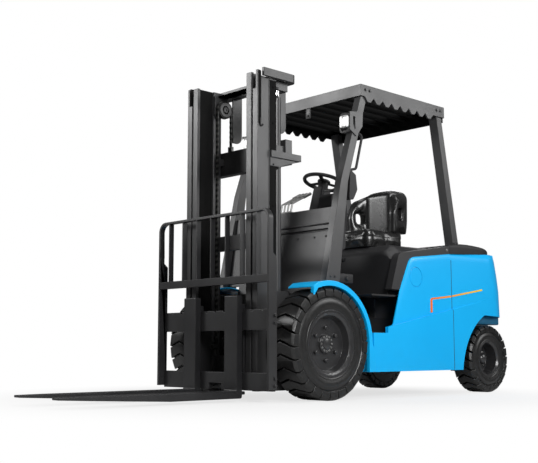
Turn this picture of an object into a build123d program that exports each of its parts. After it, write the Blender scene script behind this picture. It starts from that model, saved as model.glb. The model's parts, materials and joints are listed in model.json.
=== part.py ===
from build123d import *
from math import atan2, cos, hypot, radians, sin, tan
import os

# Electric counterbalance forklift with a two-stage mast, at rest with the forks lowered.
# X points forward, Y to the operator's left and Z up. Lengths are in millimetres.
# Places along X are measured from the front axle and shifted at the end,
# so that the origin lies under the middle of the whole truck.

# Wheels and their places
wheelbase = 1765
front_radius = 355
front_width = 222
front_face_y = 605
front_rim_radius = 213
front_sidewall = 298
rear_radius = 250
rear_width = 172
rear_face_y = 597
rear_rim_radius = 135
front_lugs = 26
rear_lugs = 22
rear_sidewall = 204
stud_circle = 104
stud_radius = 14
stud_height = 22
lug_height = 28
lug_gap = 15
lug_sweep = 20
lug_side = 9
shoulder_cut = 16
kingpin_y = 385
sidewall_bulge = 6

# Body
body_half_width = 589
body_bottom = 172
panel_wall = 24
split_x = -1322
split_gap = 3
arch_depth_y = 240
tail_x = -2100
deck_height = 1060
counterweight_top_front = 1017
counterweight_top_rear = 1056
trim_top = 1074
cap_top = 1080
belt_front_z = 470
belt_rear_z = 609
belt_step = 12
trim_width = 56
hood_half_width = body_half_width - 89
hinge_x = -1306
hinge_y = 365
hinge_z = 1068
hinge_pin_radius = 6
flap_radius = 70
flap_x = -905
flap_z = 825
fender_radius = 400
fender_sheet = 10
fender_lip = 34
fender_front = 64
fender_tip_x = 322
fender_drop = 32
step_x = -425
step_length = 150
step_height = 430

# Operator's place and guard
floor_height = 690
floor_sheet = 12
floor_rear_x = -690
cowl_top = 1260
cowl_foot_x = -75
cowl_lean = 0.171
cowl_wall = 30
cowl_flange = 70
guard_top = 2124
guard_half_width = 545
guard_front_x = -375
guard_rear_x = -1327
guard_sheet = 12
skirt_depth = 82
rear_skirt_depth = 116
tooth_depth = 35
tooth_pitch = 97
tooth_count = 8
pillar_width = 55
rear_pillar_width = 74
seat_half_width = 240
seat_rear_x = -1305
steering_wheel_radius = 140
steering_wheel_x = -470
steering_wheel_y = 105
steering_wheel_z = 1505
steering_lean = 17

# Mast
mast_front = 411
upright_depth = 165
flange = 22
flange_width = 46
outer_half_width = 354
outer_web = 18
inner_half_width = 293
inner_web = 16
mast_foot = 62
outer_top = 2105
window_foot = 1985
head_cut_x = 382
bracket_bottom = 2068
bracket_top = 2122
bracket_rear = 75
bracket_front = 157
bracket_corner = 45
guide_x = (30, 118)
guide_y = 216
guide_wall = 10
guide_bottom = 1755
guide_corner = 50
bracket_wall = 20
beam_bottom = 1546
beam_ledge = 1590
beam_top = 1684
beam_rear = 34
beam_wall_x = 100
beam_skirt = 1520
beam_front = 160
beam_corner = 14
gusset_drop = 57
gusset_x = 222
gusset_wall = 9
roller_radius = 55
roller_gap = 6
barrel_x = 198
barrel_y = 300
barrel_radius = 34
barrel_top = 1960
clamp_reach = 40
clamp_height = 48
rod_radius = 25
rod_play = 0.4
pulley_x = 200
pulley_y = 212
pulley_z = 1973
pulley_radius = 54
pulley_axle = 14
chain_thickness = 14
chain_width = 26
chain_pitch = 38
chain_waist = 2.5
hose_cover_width = 62
hose_cover_bottom = 900
hose_cover_wall = 4

# Carriage and forks
carriage_gap = 13
bar_thickness = 28
bar_half_width = 531
upper_bar_bottom = 438
upper_bar_top = 566
lower_bar_bottom = 68
lower_bar_top = 178
notch_count = 5
notch_pitch = 88
notch_width = 14
notch_depth = 10
end_plate_wall = 18
end_plate_depth = 68
backrest_top = 1183
backrest_bar_wall = 9
backrest_bar_depth = 38
backrest_bar_pitch = 144.7
backrest_rail = 727
backrest_rail_height = 48
backrest_neck = 905
backrest_corner = 68
backrest_tube = 16
fork_length = 1238
fork_width = 120
fork_thickness = 47
fork_bottom = 18
fork_top = 655
fork_y = 203
fork_tip_width = 66
fork_tip_thickness = 14
seat_play = 0.3

# Tilt cylinders
tilt_pin_x = 80
tilt_pin_z = 640
tilt_foot_x = -420
tilt_foot_z = 470
tilt_y = 230
tilt_barrel_radius = 36
tilt_rod_radius = 20
tilt_pin_radius = 18
tilt_pin_play = 4

# Axles
axle_radius = 75
hub_radius = 40
stub_radius = 30
running_play = 0.05
kingpin_radius = 18
clearance = 6

axle_z = front_radius
pillar_foot_z = axle_z + fender_radius
front_wheel_y = front_face_y - front_width / 2
rear_wheel_y = rear_face_y - rear_width / 2
mast_rear = mast_front - upright_depth
roller_x = mast_rear + upright_depth / 2
bar_rear = mast_front + carriage_gap
bar_front = bar_rear + bar_thickness
fork_back = bar_front + seat_play
fork_face = fork_back + fork_thickness
fork_tip = fork_face + fork_length
frame_shift = -(fork_tip + tail_x) / 2


def block(x, y, z):
    """A box between two values on each axis."""
    size = Box(abs(x[1] - x[0]), abs(y[1] - y[0]), abs(z[1] - z[0]))
    return Pos((x[0] + x[1]) / 2, (y[0] + y[1]) / 2, (z[0] + z[1]) / 2) * size


def side_plate(outline, y):
    """A plate cut to an outline of (x, z) points or edges, between two values of y."""
    if isinstance(outline, list):
        outline = Polyline(*[(px, pz) for px, pz in outline], close=True)
    face = make_face(outline)
    lifted = Plane(origin=(0, y[0], 0), x_dir=(1, 0, 0), z_dir=(0, -1, 0)) * face
    return extrude(lifted, amount=abs(y[1] - y[0]), dir=(0, 1 if y[1] > y[0] else -1, 0))


def rod(start, end, radius):
    """A round bar between two points."""
    path = Vector(*end) - Vector(*start)
    plane = Plane(origin=start, z_dir=path)
    return extrude(plane * Circle(radius), amount=path.length)


def ring(x, y, z, outer, inner, width):
    """A ring about the Y direction, centred on a point."""
    turned = Pos(x, y, z) * Rot(90, 0, 0)
    return turned * (Cylinder(outer, width) - Cylinder(inner, width))


def disc(x, y, z, radius):
    """A solid disc about the Y direction between two values of y."""
    return Pos(x, (y[0] + y[1]) / 2, z) * Rot(90, 0, 0) * Cylinder(radius, abs(y[1] - y[0]))


def turned(profile):
    """A wheel piece turned about the Y axis from (radius, y) points."""
    face = make_face(Polyline(*profile, close=True))
    return revolve(face, axis=Axis.Y)


def right_hand(shape):
    """The same piece for the right side of the truck."""
    return mirror(shape, about=Plane.XZ)


def both_sides(shape):
    """The left piece and its mirror image in one node."""
    return Compound(children=[*shape.solids(), *right_hand(shape).solids()])


def save(node, shape):
    """Write one node at its place in the truck's frame."""
    export_step(Pos(frame_shift, 0, 0) * shape, f"parts/{node}.step")


# Wheels: solid tyres on dished discs, turned about their own axle.
def tyre(radius, width, rim_radius, sidewall, lug_count):
    """A many-sided carcass with a chevron lug across each flat."""
    half = width / 2
    reach = radius * tan(radians(180 / lug_count)) - lug_gap / 2
    plan = Polyline((-reach + lug_sweep, half), (reach + lug_sweep, half), (reach - lug_sweep, 0),
                    (reach + lug_sweep, -half), (-reach + lug_sweep, -half), (-reach - lug_sweep, 0), close=True)
    lug = extrude(Plane(origin=(0, 0, sidewall)) * make_face(plan), amount=radius - sidewall)
    top_edges = lug.edges().group_by(Axis.Z)[-1]
    shoulders = [edge for edge in top_edges if abs(edge.center().Y) > half - 1]
    lug = chamfer(shoulders, shoulder_cut)
    lugs = [Rot(0, 360 * i / lug_count, 0) * lug for i in range(lug_count)]
    flats = RegularPolygon(radius - lug_height, lug_count, major_radius=False)
    carcass = extrude(Plane.XZ * flats, half - lug_side, both=True)
    bead = Rot(90, 0, 0) * Cylinder(sidewall - lug_side, width)
    bore = Rot(90, 0, 0) * Cylinder(rim_radius, width)
    tread_sides = 2 * lug_count
    tread = RegularPolygon(radius, tread_sides, major_radius=False, rotation=180 / tread_sides)
    return (carcass + bead + lugs) & extrude(Plane.XZ * tread, half, both=True) - bore


def front_rim():
    half = front_width / 2 - sidewall_bulge
    bowl = front_rim_radius - 37
    bore = hub_radius + running_play
    body = turned([
        (bore, -28),
        (hub_radius + 45, -28),
        (hub_radius + 45, 22),
        (bowl - 20, 22),
        (front_rim_radius - 14, -half),
        (front_rim_radius, -half),
        (front_rim_radius, half),
        (front_rim_radius - 12, half),
        (bowl + 4, half - 12),
        (bowl - 8, 46),
        (hub_radius + 22, 46),
        (hub_radius + 16, 62),
        (bore, 62),
    ])
    stud = Pos(stud_circle, 46, 0) * Rot(90, 0, 0) * Cylinder(stud_radius, 2 * stud_height)
    stud = chamfer(stud.edges().group_by(Axis.Y)[-1], 0.4 * stud_radius)
    return body + [Rot(0, 30 + 60 * i, 0) * stud for i in range(6)]


def rear_rim():
    half = rear_width / 2 - sidewall_bulge
    bore = stub_radius + running_play
    return turned([
        (bore, -half + 10),
        (stub_radius + 40, -half + 10),
        (rear_rim_radius - 12, -half),
        (rear_rim_radius, -half),
        (rear_rim_radius, half),
        (rear_rim_radius - 10, half),
        (rear_rim_radius - 22, half - 14),
        (rear_rim_radius - 26, -18),
        (stub_radius + 26, -30),
        (stub_radius + 14, 12),
        (bore, 18),
    ])


# Drive axle: a cased gear train between two tubes, with a stub that carries each wheel.
gear_case_x = -20
gear_case_half = 120
gear_case_radius = 150
gear_case_cut = 55


def drive_axle():
    inner_face = front_wheel_y - front_width / 2
    tube = disc(0, (-inner_face + 8, inner_face - 8), axle_z, axle_radius)
    case = disc(gear_case_x, (-gear_case_half, gear_case_half), axle_z, gear_case_radius)
    case = chamfer(case.edges().filter_by(GeomType.CIRCLE), gear_case_cut)
    left_stub = disc(0, (inner_face - 10, front_wheel_y + 60), axle_z, hub_radius)
    flange_disc = disc(0, (inner_face - 8, front_wheel_y - 40), axle_z, 100)
    return tube + case + left_stub + right_hand(left_stub) + flange_disc + right_hand(flange_disc)


# Steer axle: a beam with a forked end that holds each knuckle on its kingpin.
eye_radius = 32
yoke_height = 190
yoke_arm = 30


def steer_axle():
    half = yoke_height / 2
    beam = block((-wheelbase - 60, -wheelbase + 60), (-kingpin_y + 80, kingpin_y - 80),
                 (rear_radius - 55, rear_radius + 55))
    arm_face = make_face(Polyline((-wheelbase - 55, kingpin_y - 82), (-wheelbase + 55, kingpin_y - 82),
                                  (-wheelbase + eye_radius, kingpin_y), (-wheelbase - eye_radius, kingpin_y),
                                  close=True))
    arm = extrude(arm_face, amount=yoke_arm) + Pos(-wheelbase, kingpin_y, yoke_arm / 2) * Cylinder(
        eye_radius, yoke_arm)
    arm -= Pos(-wheelbase, kingpin_y, yoke_arm / 2) * Cylinder(kingpin_radius + running_play, yoke_arm)
    post = block((-wheelbase - 55, -wheelbase + 55), (kingpin_y - 110, kingpin_y - 78),
                 (rear_radius - half, rear_radius + half))
    yoke = Pos(0, 0, rear_radius + half - yoke_arm) * arm + Pos(0, 0, rear_radius - half) * arm + post
    saddle = block((-wheelbase - 130, -wheelbase + 130), (-70, 70), (rear_radius - 40, axle_mount_z))
    return beam + yoke + right_hand(yoke) + saddle


axle_mount_z = 420
bearer_top = 480


def knuckle():
    half = yoke_height / 2
    gap = 1
    pin = Pos(-wheelbase, kingpin_y, rear_radius) * Cylinder(kingpin_radius, yoke_height)
    post = Pos(-wheelbase, kingpin_y, rear_radius) * Cylinder(eye_radius, yoke_height - 2 * yoke_arm - gap)
    stub = disc(-wheelbase, (kingpin_y, rear_wheel_y + 16), rear_radius, stub_radius)
    collar = disc(-wheelbase, (kingpin_y, rear_wheel_y - rear_width / 2 + 12), rear_radius, stub_radius + 8)
    return pin + post + stub + collar


# Chassis: two deep side members under the panels, joined by cross plates.
rail_y = 330


def chassis_frame():
    outline = [
        (-150, body_bottom + 30),
        (split_x - 60, body_bottom + 30),
        (split_x - 60, bearer_top),
        (split_x + 30, bearer_top),
        (split_x + 70, bearer_top + 60),
        (-700, bearer_top + 60),
        (-430, floor_height - floor_sheet),
        (-150, floor_height - floor_sheet),
    ]
    rail = side_plate(outline, (rail_y, rail_y + 20))
    rail -= disc(0, (300, 400), axle_z, axle_radius + clearance)
    saddle = side_plate([(-160, axle_z - 120), (60, axle_z - 120), (60, axle_z + 120), (-160, axle_z + 120)],
                        (150, 200))
    saddle -= disc(0, (100, 300), axle_z, axle_radius)
    saddle += block((-160, -148), (150, 340), (axle_z - 120, axle_z + 120))
    cross_rear = block((split_x - 60, split_x - 40), (-rail_y - 10, rail_y + 10), (body_bottom + 30, bearer_top))
    belly = block((split_x - 50, -500), (-340, 340), (body_bottom + 30, body_bottom + 42))
    tilt_pin = disc(tilt_foot_x, (tilt_y - 22, rail_y), tilt_foot_z, tilt_pin_radius)
    bearer = block((split_x - 60, -wheelbase - 130), (-70, 70), (axle_mount_z, bearer_top))
    half = rail + saddle + tilt_pin
    return half + right_hand(half) + cross_rear + belly + bearer


# Counterweight: the cast tail of the truck, rounded in plan, with an arch over each rear wheel.
arch_foot_x = -1432
arch_mid = (-1520, 405)
arch_top = (-1728, 577)
tail_corner = 240
tail_waist_z = 500
tail_shoulder_z = 760
tail_shoulder_inset = 14
tail_top_inset = 66
under_tail = 330
tow_pin_radius = 16
tow_pocket_z = 560


def tail_plan(z, inset):
    """The counterweight's outline in plan at one height."""
    front, rear = split_x - split_gap, tail_x + inset
    outline = FilletPolyline((front, -body_half_width), (front, body_half_width), (rear, body_half_width),
                             (rear, -body_half_width), radius=[0.5, 0.5, tail_corner, tail_corner], close=True)
    return Pos(0, 0, z) * make_face(outline)


def counterweight():
    body = extrude(tail_plan(body_bottom, 0), amount=tail_waist_z - body_bottom)
    body += loft([tail_plan(tail_waist_z, 0), tail_plan(tail_shoulder_z, tail_shoulder_inset)], ruled=True)
    body += loft([tail_plan(tail_shoulder_z, tail_shoulder_inset),
                  tail_plan(counterweight_top_rear, tail_top_inset)], ruled=True)
    body -= side_plate(cap_outline(0), (-body_half_width - 1, body_half_width + 1))
    arch = (ThreePointArc((arch_foot_x, body_bottom), arch_mid, arch_top)
            + Polyline(arch_top, (tail_x - 10, arch_top[1] - 15), (tail_x - 10, body_bottom - 10),
                       (arch_foot_x, body_bottom - 10), (arch_foot_x, body_bottom)))
    body -= side_plate(arch, (arch_depth_y, body_half_width + 10))
    body -= side_plate(arch, (-arch_depth_y, -body_half_width - 10))
    inner_y = body_half_width - panel_wall
    pocket_radius = hypot(rear_radius, rear_face_y - kingpin_y) + clearance + 2
    pocket = Pos(-wheelbase, kingpin_y, 350) * Cylinder(pocket_radius, 420)
    pocket &= block((split_x - 120, tail_x), (0, inner_y), (0, arch_top[1] - 20))
    body -= pocket
    body -= right_hand(pocket)
    body -= block((split_x + 10, -wheelbase - 175), (-inner_y, inner_y), (0, bearer_top))
    body -= block((-wheelbase - 180, tail_x - 10), (-body_half_width, body_half_width), (0, under_tail))
    body -= block((tail_x + 90, tail_x - 10), (-70, 70), (under_tail + 70, under_tail + 150))
    body -= block((tail_x + 90, tail_x - 10), (-60, 60), (tow_pocket_z, tow_pocket_z + 130))
    tow_hole = Pos(tail_x + 48, 0, under_tail + 110) * Cylinder(tow_pin_radius + 1, 2 * (tow_pocket_z - under_tail - 110) + 2)
    body -= tow_hole
    return body


# Rear cover: the dark cap between the hood and the tail, on which the rear pillars stand.
cap_rear_x = -2040
cap_inset = 30
cap_corner = 270
cap_round = 16


def cap_outline(gap):
    return [(split_x + 10, counterweight_top_front + gap), (split_x + 10, cap_top + 60), (cap_rear_x, cap_top + 60),
            (cap_rear_x, counterweight_top_rear + gap)]


def rear_cover():
    half = body_half_width - panel_wall - 1
    front, rear = split_x - split_gap, cap_rear_x + cap_inset
    plan = make_face(FilletPolyline((front, -half), (front, half), (rear, half), (rear, -half),
                                    radius=[0.5, 0.5, cap_corner, cap_corner], close=True))
    slab = Pos(0, 0, counterweight_top_front) * extrude(plan, amount=cap_top - counterweight_top_front)
    slab &= side_plate(cap_outline(0), (-body_half_width, body_half_width))
    edges = slab.edges().group_by(Axis.Z)[-1].filter_by(lambda e: e.center().X < split_x - 10)
    slab = fillet(edges, cap_round)
    arm = block((split_x - 4, hinge_x), (hinge_y + 14, hinge_y + 24), (hinge_z - 5, hinge_z + 7))
    arm += disc(hinge_x, (hinge_y + 14, hinge_y + 24), hinge_z, hinge_pin_radius + 1.5)
    arm += disc(hinge_x, (hinge_y - 14, hinge_y + 24), hinge_z, hinge_pin_radius)
    return slab + arm + right_hand(arm)


# Side panels: blue covers between the step and the counterweight.
def belt_z(x):
    share = (x - (step_x - step_length)) / (split_x - (step_x - step_length))
    return belt_front_z + share * (belt_rear_z - belt_front_z)


panel_top_front = (-848, 961)
panel_top_rear_z = 1015
panel_knee = (-731, 725)
panel_front_foot = (-648, 484)


def panel_outline():
    foot = (step_x - step_length, belt_front_z)
    return FilletPolyline((step_x, body_bottom), (step_x, step_height), (step_x - step_length, step_height),
                          foot, panel_front_foot, panel_knee, panel_top_front,
                          (split_x, panel_top_rear_z), (split_x, body_bottom),
                          radius=[4, 4, 4, 4, 30, 200, 90, 4, 4], close=True)


def side_panel(with_flap):
    outer = body_half_width
    panel = side_plate(panel_outline(), (outer - panel_wall, outer))
    above_belt = side_plate([(step_x - step_length, belt_front_z), (split_x - 10, belt_z(split_x - 10)),
                             (split_x - 10, deck_height), (step_x - step_length, deck_height)],
                            (outer - belt_step, outer + 5))
    panel -= above_belt
    if with_flap:
        panel -= disc(flap_x, (0, outer + 10), flap_z, flap_radius)
        panel += ring(flap_x, outer - panel_wall + 2, flap_z, flap_radius + 8, flap_radius - 10, 4)
    step = block((step_x, step_x - step_length), (rail_y + 20, outer - panel_wall),
                 (step_height - 20, step_height))
    return panel + step


flap_play = 2


def charge_flap():
    outer = body_half_width - belt_step
    seat = body_half_width - panel_wall + 4 + seat_play
    lid = disc(flap_x, (seat, outer), flap_z, flap_radius - flap_play)
    return lid


# Fenders: a rolled sheet round the tyre with a turned lip on its outer edge.
def fender():
    top_angle = radians(78)
    start = (fender_radius * cos(top_angle), axle_z + fender_radius * sin(top_angle))
    tip = (fender_tip_x, start[1] - fender_drop)

    def band(thickness, front):
        inner, outer = fender_radius - thickness, fender_radius
        si = (inner * cos(top_angle), axle_z + inner * sin(top_angle))
        diagonal = radians(130)
        po = (outer * cos(diagonal), axle_z + outer * sin(diagonal))
        pi_ = (inner * cos(diagonal), axle_z + inner * sin(diagonal))
        return (Line((step_x, body_bottom), (step_x, axle_z - 60))
                + Line((step_x, axle_z - 60), (-outer, axle_z))
                + ThreePointArc((-outer, axle_z), po, start)
                + Line(start, tip)
                + Line(tip, (tip[0], tip[1] - front))
                + Line((tip[0], tip[1] - front), si)
                + ThreePointArc(si, pi_, (-inner, axle_z))
                + Line((-inner, axle_z), (-inner, body_bottom))
                + Line((-inner, body_bottom), (step_x, body_bottom)))

    inner_y = front_wheel_y - front_width / 2 - 10
    sheet = side_plate(band(fender_sheet, fender_sheet), (inner_y, body_half_width - 4))
    lip = side_plate(band(fender_lip, fender_front), (body_half_width - 16, body_half_width + 14))
    return sheet + lip


# Body trim: the dark band that frames each side panel behind its top and front edges.
def body_trim():
    band = FilletPolyline((-648, 730), (-735, 985), (split_x, trim_top), (split_x, panel_top_rear_z - trim_width),
                          (-886, 925), (-775, 725), radius=[2, 70, 2, 2, 80, 2], close=True)
    return side_plate(band, (hood_half_width + clearance, body_half_width - panel_wall))


# Hood: a shell over the battery that carries the seat and hinges at its rear edge.
hood_wall = 12
hood_foot_z = floor_height + clearance
hood_front_foot = (-683, hood_foot_z)
hood_front_top = (-742, deck_height - 60)


def hood():
    outline = FilletPolyline(hood_front_foot, hood_front_top, (-830, deck_height), (split_x + 8, deck_height),
                             (split_x + 8, hood_foot_z), radius=[2, 60, 60, 6, 2], close=True)
    shell = side_plate(outline, (-hood_half_width, hood_half_width))
    inner = FilletPolyline((hood_front_foot[0] - hood_wall - 2, hood_foot_z - 10), (hood_front_top[0] - hood_wall, hood_front_top[1] - 10),
                           (-836, deck_height - hood_wall), (split_x - 30, deck_height - hood_wall),
                           (split_x - 30, hood_foot_z - 10), radius=[2, 50, 50, 2, 2], close=True)
    shell -= side_plate(inner, (-hood_half_width + hood_wall, hood_half_width - hood_wall))
    eye = ring(hinge_x, hinge_y, hinge_z, 2 * hinge_pin_radius, hinge_pin_radius + running_play, 24)
    return shell + eye + right_hand(eye)


def battery_pack():
    return block((-760, split_x + 60), (-320, 320), (body_bottom + 42, deck_height - 160))


cushion_top = deck_height + 130
seat_top = deck_height + 480
seat_shoulder = deck_height + 385
seat_back_x = -1345
seat_slot_x = (-1128, -1222)
seat_slot_z = (deck_height + 225, deck_height + 330)
seat_slot_corner = 30


def seat_cushion():
    plan = make_face(FilletPolyline((-800, -seat_half_width), (-800, seat_half_width),
                                    (seat_rear_x + 95, seat_half_width), (seat_rear_x + 95, -seat_half_width),
                                    radius=50, close=True))
    pad = Pos(0, 0, deck_height + seat_play) * extrude(plan, amount=cushion_top - deck_height)
    return fillet(pad.edges().group_by(Axis.Z)[-1], 25)


def seat_back():
    outer_plan = make_face(FilletPolyline((-1090, -seat_half_width), (seat_back_x, -seat_half_width + 40),
                                          (seat_back_x, seat_half_width - 40), (-1090, seat_half_width),
                                          (-1090, seat_half_width - 55), (seat_rear_x + 90, seat_half_width - 120),
                                          (seat_rear_x + 90, -seat_half_width + 120),
                                          (-1090, -seat_half_width + 55),
                                          radius=[18, 110, 110, 18, 18, 60, 60, 18], close=True))
    low = cushion_top + clearance
    shell = Pos(0, 0, low) * extrude(outer_plan, amount=seat_top - low)
    shell &= side_plate(FilletPolyline((seat_rear_x + 5, low), (-1070, low), (-1070, seat_shoulder - 155),
                                       (-1140, seat_shoulder + 25), (-1240, seat_top), (-1400, seat_top),
                                       (-1400, low + 150), (seat_back_x, low + 150),
                                       radius=[10, 20, 90, 60, 30, 2, 2, 60], close=True),
                        (-seat_half_width - 10, seat_half_width + 10))
    across = Plane(origin=(seat_back_x - 50, 0, 0), x_dir=(0, 1, 0), z_dir=(1, 0, 0))
    face = make_face(FilletPolyline((-seat_half_width, low), (-seat_half_width, seat_shoulder),
                                    (-0.5 * seat_half_width, seat_top), (0.5 * seat_half_width, seat_top),
                                    (seat_half_width, seat_shoulder), (seat_half_width, low),
                                    radius=[2, 60, 110, 110, 60, 2], close=True))
    shell &= extrude(across * face, amount=450)
    slot = FilletPolyline((seat_slot_x[0], seat_slot_z[0]), (seat_slot_x[0], seat_slot_z[1]),
                          (seat_slot_x[1], seat_slot_z[1]), (seat_slot_x[1], seat_slot_z[0]),
                          radius=seat_slot_corner, close=True)
    for side in (1, -1):
        shell -= side_plate(slot, (side * (seat_half_width - 110), side * (seat_half_width + 10)))
    foot = block((seat_rear_x + 20, seat_rear_x + 85), (-120, 120), (deck_height + seat_play, cushion_top + 30))
    return shell + foot


# Operator's place: floor, cowl, dash, steering and controls.
def floor_plate():
    narrow = front_wheel_y - front_width / 2 - 21
    wide = body_half_width - panel_wall - 2
    back = step_x - 15
    plan = make_face(Polyline((cowl_foot_x - 20, -narrow), (cowl_foot_x - 20, narrow), (back, narrow), (back, wide),
                              (floor_rear_x, wide), (floor_rear_x, -wide), (back, -wide), (back, -narrow), close=True))
    return Pos(0, 0, floor_height - floor_sheet) * extrude(plan, amount=floor_sheet)


def cowl_x(z):
    return cowl_foot_x - cowl_lean * (z - pillar_foot_z)


cowl_half_width = guard_half_width - guard_sheet - pillar_width
cowl_slot_drop = 153
cowl_slot = 16


def front_cowl():
    low, high = floor_height, cowl_top
    outline = [(cowl_x(low), low), (cowl_x(high), high), (cowl_x(high) - cowl_flange, high),
               (cowl_x(high) - cowl_flange, high - cowl_wall),
               (cowl_x(high - 40) - cowl_wall, high - cowl_wall - 10),
               (cowl_x(low) - cowl_wall, low)]
    sheet = side_plate(outline, (-cowl_half_width, cowl_half_width))
    slot_z = high - cowl_slot_drop
    slot = block((cowl_x(slot_z) + 20, cowl_x(slot_z) - 12), (-cowl_half_width + 20, cowl_half_width - 20),
                 (slot_z - cowl_slot / 2, slot_z + cowl_slot / 2))
    arch_y = front_wheel_y - front_width / 2 - 21
    arch = block((-400, 100), (arch_y, front_face_y), (0, axle_z + fender_radius + 8))
    return sheet - slot - arch - right_hand(arch)


dash_y = (-20, 330)
dash_depth = 215
dash_foot = 1000
dash_rise = 15
pod_x = (-310, -395)
pod_y = (205, 325)
pod_height = 112


def dashboard():
    rear = cowl_x(cowl_top) - cowl_flange
    top = cowl_top + dash_rise
    outline = FilletPolyline((rear, cowl_top - 60), (rear, top), (rear - dash_depth, top), (rear - dash_depth, dash_foot),
                             (cowl_x(dash_foot) - 45, dash_foot), radius=[5, 4, 30, 30, 5], close=True)
    pod = block(pod_x, pod_y, (top - 5, top + pod_height))
    pod = fillet(pod.edges().filter_by(Axis.Y), 34)
    return side_plate(outline, dash_y) + pod - column_shroud()


def steering_plane():
    lean = radians(steering_lean)
    return Plane(origin=(steering_wheel_x, steering_wheel_y, steering_wheel_z), x_dir=(cos(lean), 0, sin(lean)),
                 z_dir=(-sin(lean), 0, cos(lean)))


shroud_top = -52
shroud_length = 270
shroud_size = (92, 108)
shroud_corner = 22
spigot_radius = 12
spigot_length = 40
hub_depth = 44


def column_shroud():
    """The boxed cover of the steering column, square to the wheel."""
    cover = extrude(Plane(origin=(0, 0, shroud_top)) * RectangleRounded(*shroud_size, shroud_corner),
                    amount=-shroud_length)
    return steering_plane() * cover


def steering_column():
    spigot = Pos(0, 0, shroud_top + spigot_length / 2) * Cylinder(spigot_radius, spigot_length)
    return column_shroud() + steering_plane() * spigot


rim_section = 14
rim_sides = 8
hub_cap_radius = 46
spoke_count = 3


def steering_wheel():
    rim = revolve(Plane.XZ * Pos(steering_wheel_radius, 0) * RegularPolygon(rim_section, rim_sides), axis=Axis.Z)
    hub = Pos(0, 0, -hub_depth / 2) * (Cylinder(36, hub_depth) - Cylinder(spigot_radius + running_play, hub_depth))
    cap = chamfer((Pos(0, 0, 6) * Cylinder(hub_cap_radius, 16)).edges().group_by(Axis.Z)[-1], 5)
    spoke = Pos(steering_wheel_radius / 2 + 10, 0, -2) * Box(steering_wheel_radius - 25, 26, 10)
    wheel = rim + hub + cap + [Rot(0, 0, 30 + 360 / spoke_count * i) * spoke for i in range(spoke_count)]
    return steering_plane() * wheel


lever_count = 4
lever_pitch = 34
lever_first_y = -68
lever_foot_x = -205
lever_bend = (-222, 76)
lever_end = (-405, 165)
lever_radius = 6
grip_radius = 11
grip_share = 0.62


def control_levers():
    last = lever_first_y + (lever_count - 1) * lever_pitch
    levers = block((lever_foot_x - 22, lever_foot_x + 30), (lever_first_y - 16, last + 16), (cowl_top, cowl_top + 12))
    for i in range(lever_count):
        y = lever_first_y + i * lever_pitch
        foot = (lever_foot_x, y, cowl_top + 8)
        bend = (lever_bend[0], y, cowl_top + lever_bend[1])
        end = (lever_end[0], y, cowl_top + lever_end[1])
        grip = tuple(a + grip_share * (b - a) for a, b in zip(bend, end))
        levers += [rod(foot, bend, lever_radius), rod((bend[0] + 3, y, bend[2] - 4), end, lever_radius),
                   rod(grip, end, grip_radius)]
    return levers


def pedals():
    result = []
    for y, half in ((-120, 45), (60, 60)):
        pad = side_plate([(-250, floor_height + 150), (-262, floor_height + 150), (-300, floor_height + 20),
                          (-288, floor_height + 20)], (y - half, y + half))
        stem = rod((-292, y, floor_height), (-292, y, floor_height + 60), 9)
        result += (pad + stem).solids()
    return Compound(children=result)


# Overhead guard: a slatted roof in a skirt with a scalloped lower edge, on four pillars.
def roof_skirt():
    top, low = guard_top, guard_top - skirt_depth
    first = guard_front_x - 40
    points = [(guard_front_x, top), (guard_front_x, low), (first, low)]
    for i in range(tooth_count):
        left = first - i * tooth_pitch
        points += [(left - 0.35 * tooth_pitch, low - tooth_depth), (left - 0.65 * tooth_pitch, low - tooth_depth),
                   (left - tooth_pitch, low)]
    points += [(guard_rear_x, low), (guard_rear_x, top)]
    return side_plate(points, (guard_half_width - guard_sheet, guard_half_width))


slat_count = 9


def overhead_guard():
    skirt = roof_skirt()
    inside = guard_half_width - guard_sheet
    front = block((guard_front_x - guard_sheet, guard_front_x), (-inside, inside), (guard_top - skirt_depth, guard_top))
    rear = block((guard_rear_x, guard_rear_x + guard_sheet), (-inside, inside),
                 (guard_top - rear_skirt_depth, guard_top))
    rim_front = block((guard_front_x - 110, guard_front_x), (-inside, inside), (guard_top - guard_sheet, guard_top))
    rim_rear = block((guard_rear_x, guard_rear_x + 110), (-inside, inside), (guard_top - guard_sheet, guard_top))
    roof = skirt + right_hand(skirt) + front + rear + rim_front + rim_rear
    pitch = 2 * inside / slat_count
    for i in range(slat_count + 1):
        y = -inside + i * pitch
        half = 17
        roof += block((guard_rear_x + 5, guard_front_x - 5), (max(y - half, -inside), min(y + half, inside)),
                      (guard_top - 45, guard_top - 2))
    return roof


front_pillar_foot = (-26, -155)
front_pillar_knee = (-179, -249)
front_pillar_knee_z = 1435
front_pillar_top = (guard_front_x - guard_sheet - 11, guard_front_x - guard_sheet - 71)
pillar_top_z = guard_top - skirt_depth + 30
rear_pillar_top = (-1240, -1297)
rear_pillar_foot = (-1420, -1488)


def pillar_rear_x(z):
    share = (z - front_pillar_knee_z) / (pillar_top_z - front_pillar_knee_z)
    return front_pillar_knee[1] + share * (front_pillar_top[1] - front_pillar_knee[1])


def guard_pillars():
    top = pillar_top_z
    front = side_plate([(front_pillar_foot[0], pillar_foot_z), (front_pillar_knee[0], front_pillar_knee_z),
                        (front_pillar_top[0], top), (front_pillar_top[1], top),
                        (front_pillar_knee[1], front_pillar_knee_z), (front_pillar_foot[1], pillar_foot_z)],
                       (guard_half_width - guard_sheet - pillar_width, guard_half_width - guard_sheet))
    rear_low = cap_top
    rear = side_plate([(rear_pillar_foot[0], rear_low), (rear_pillar_top[0], top), (rear_pillar_top[1], top),
                       (rear_pillar_foot[1], rear_low)],
                      (guard_half_width - guard_sheet - rear_pillar_width, guard_half_width - guard_sheet))
    return both_sides(Compound(children=[*front.solids(), *rear.solids()]))


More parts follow.
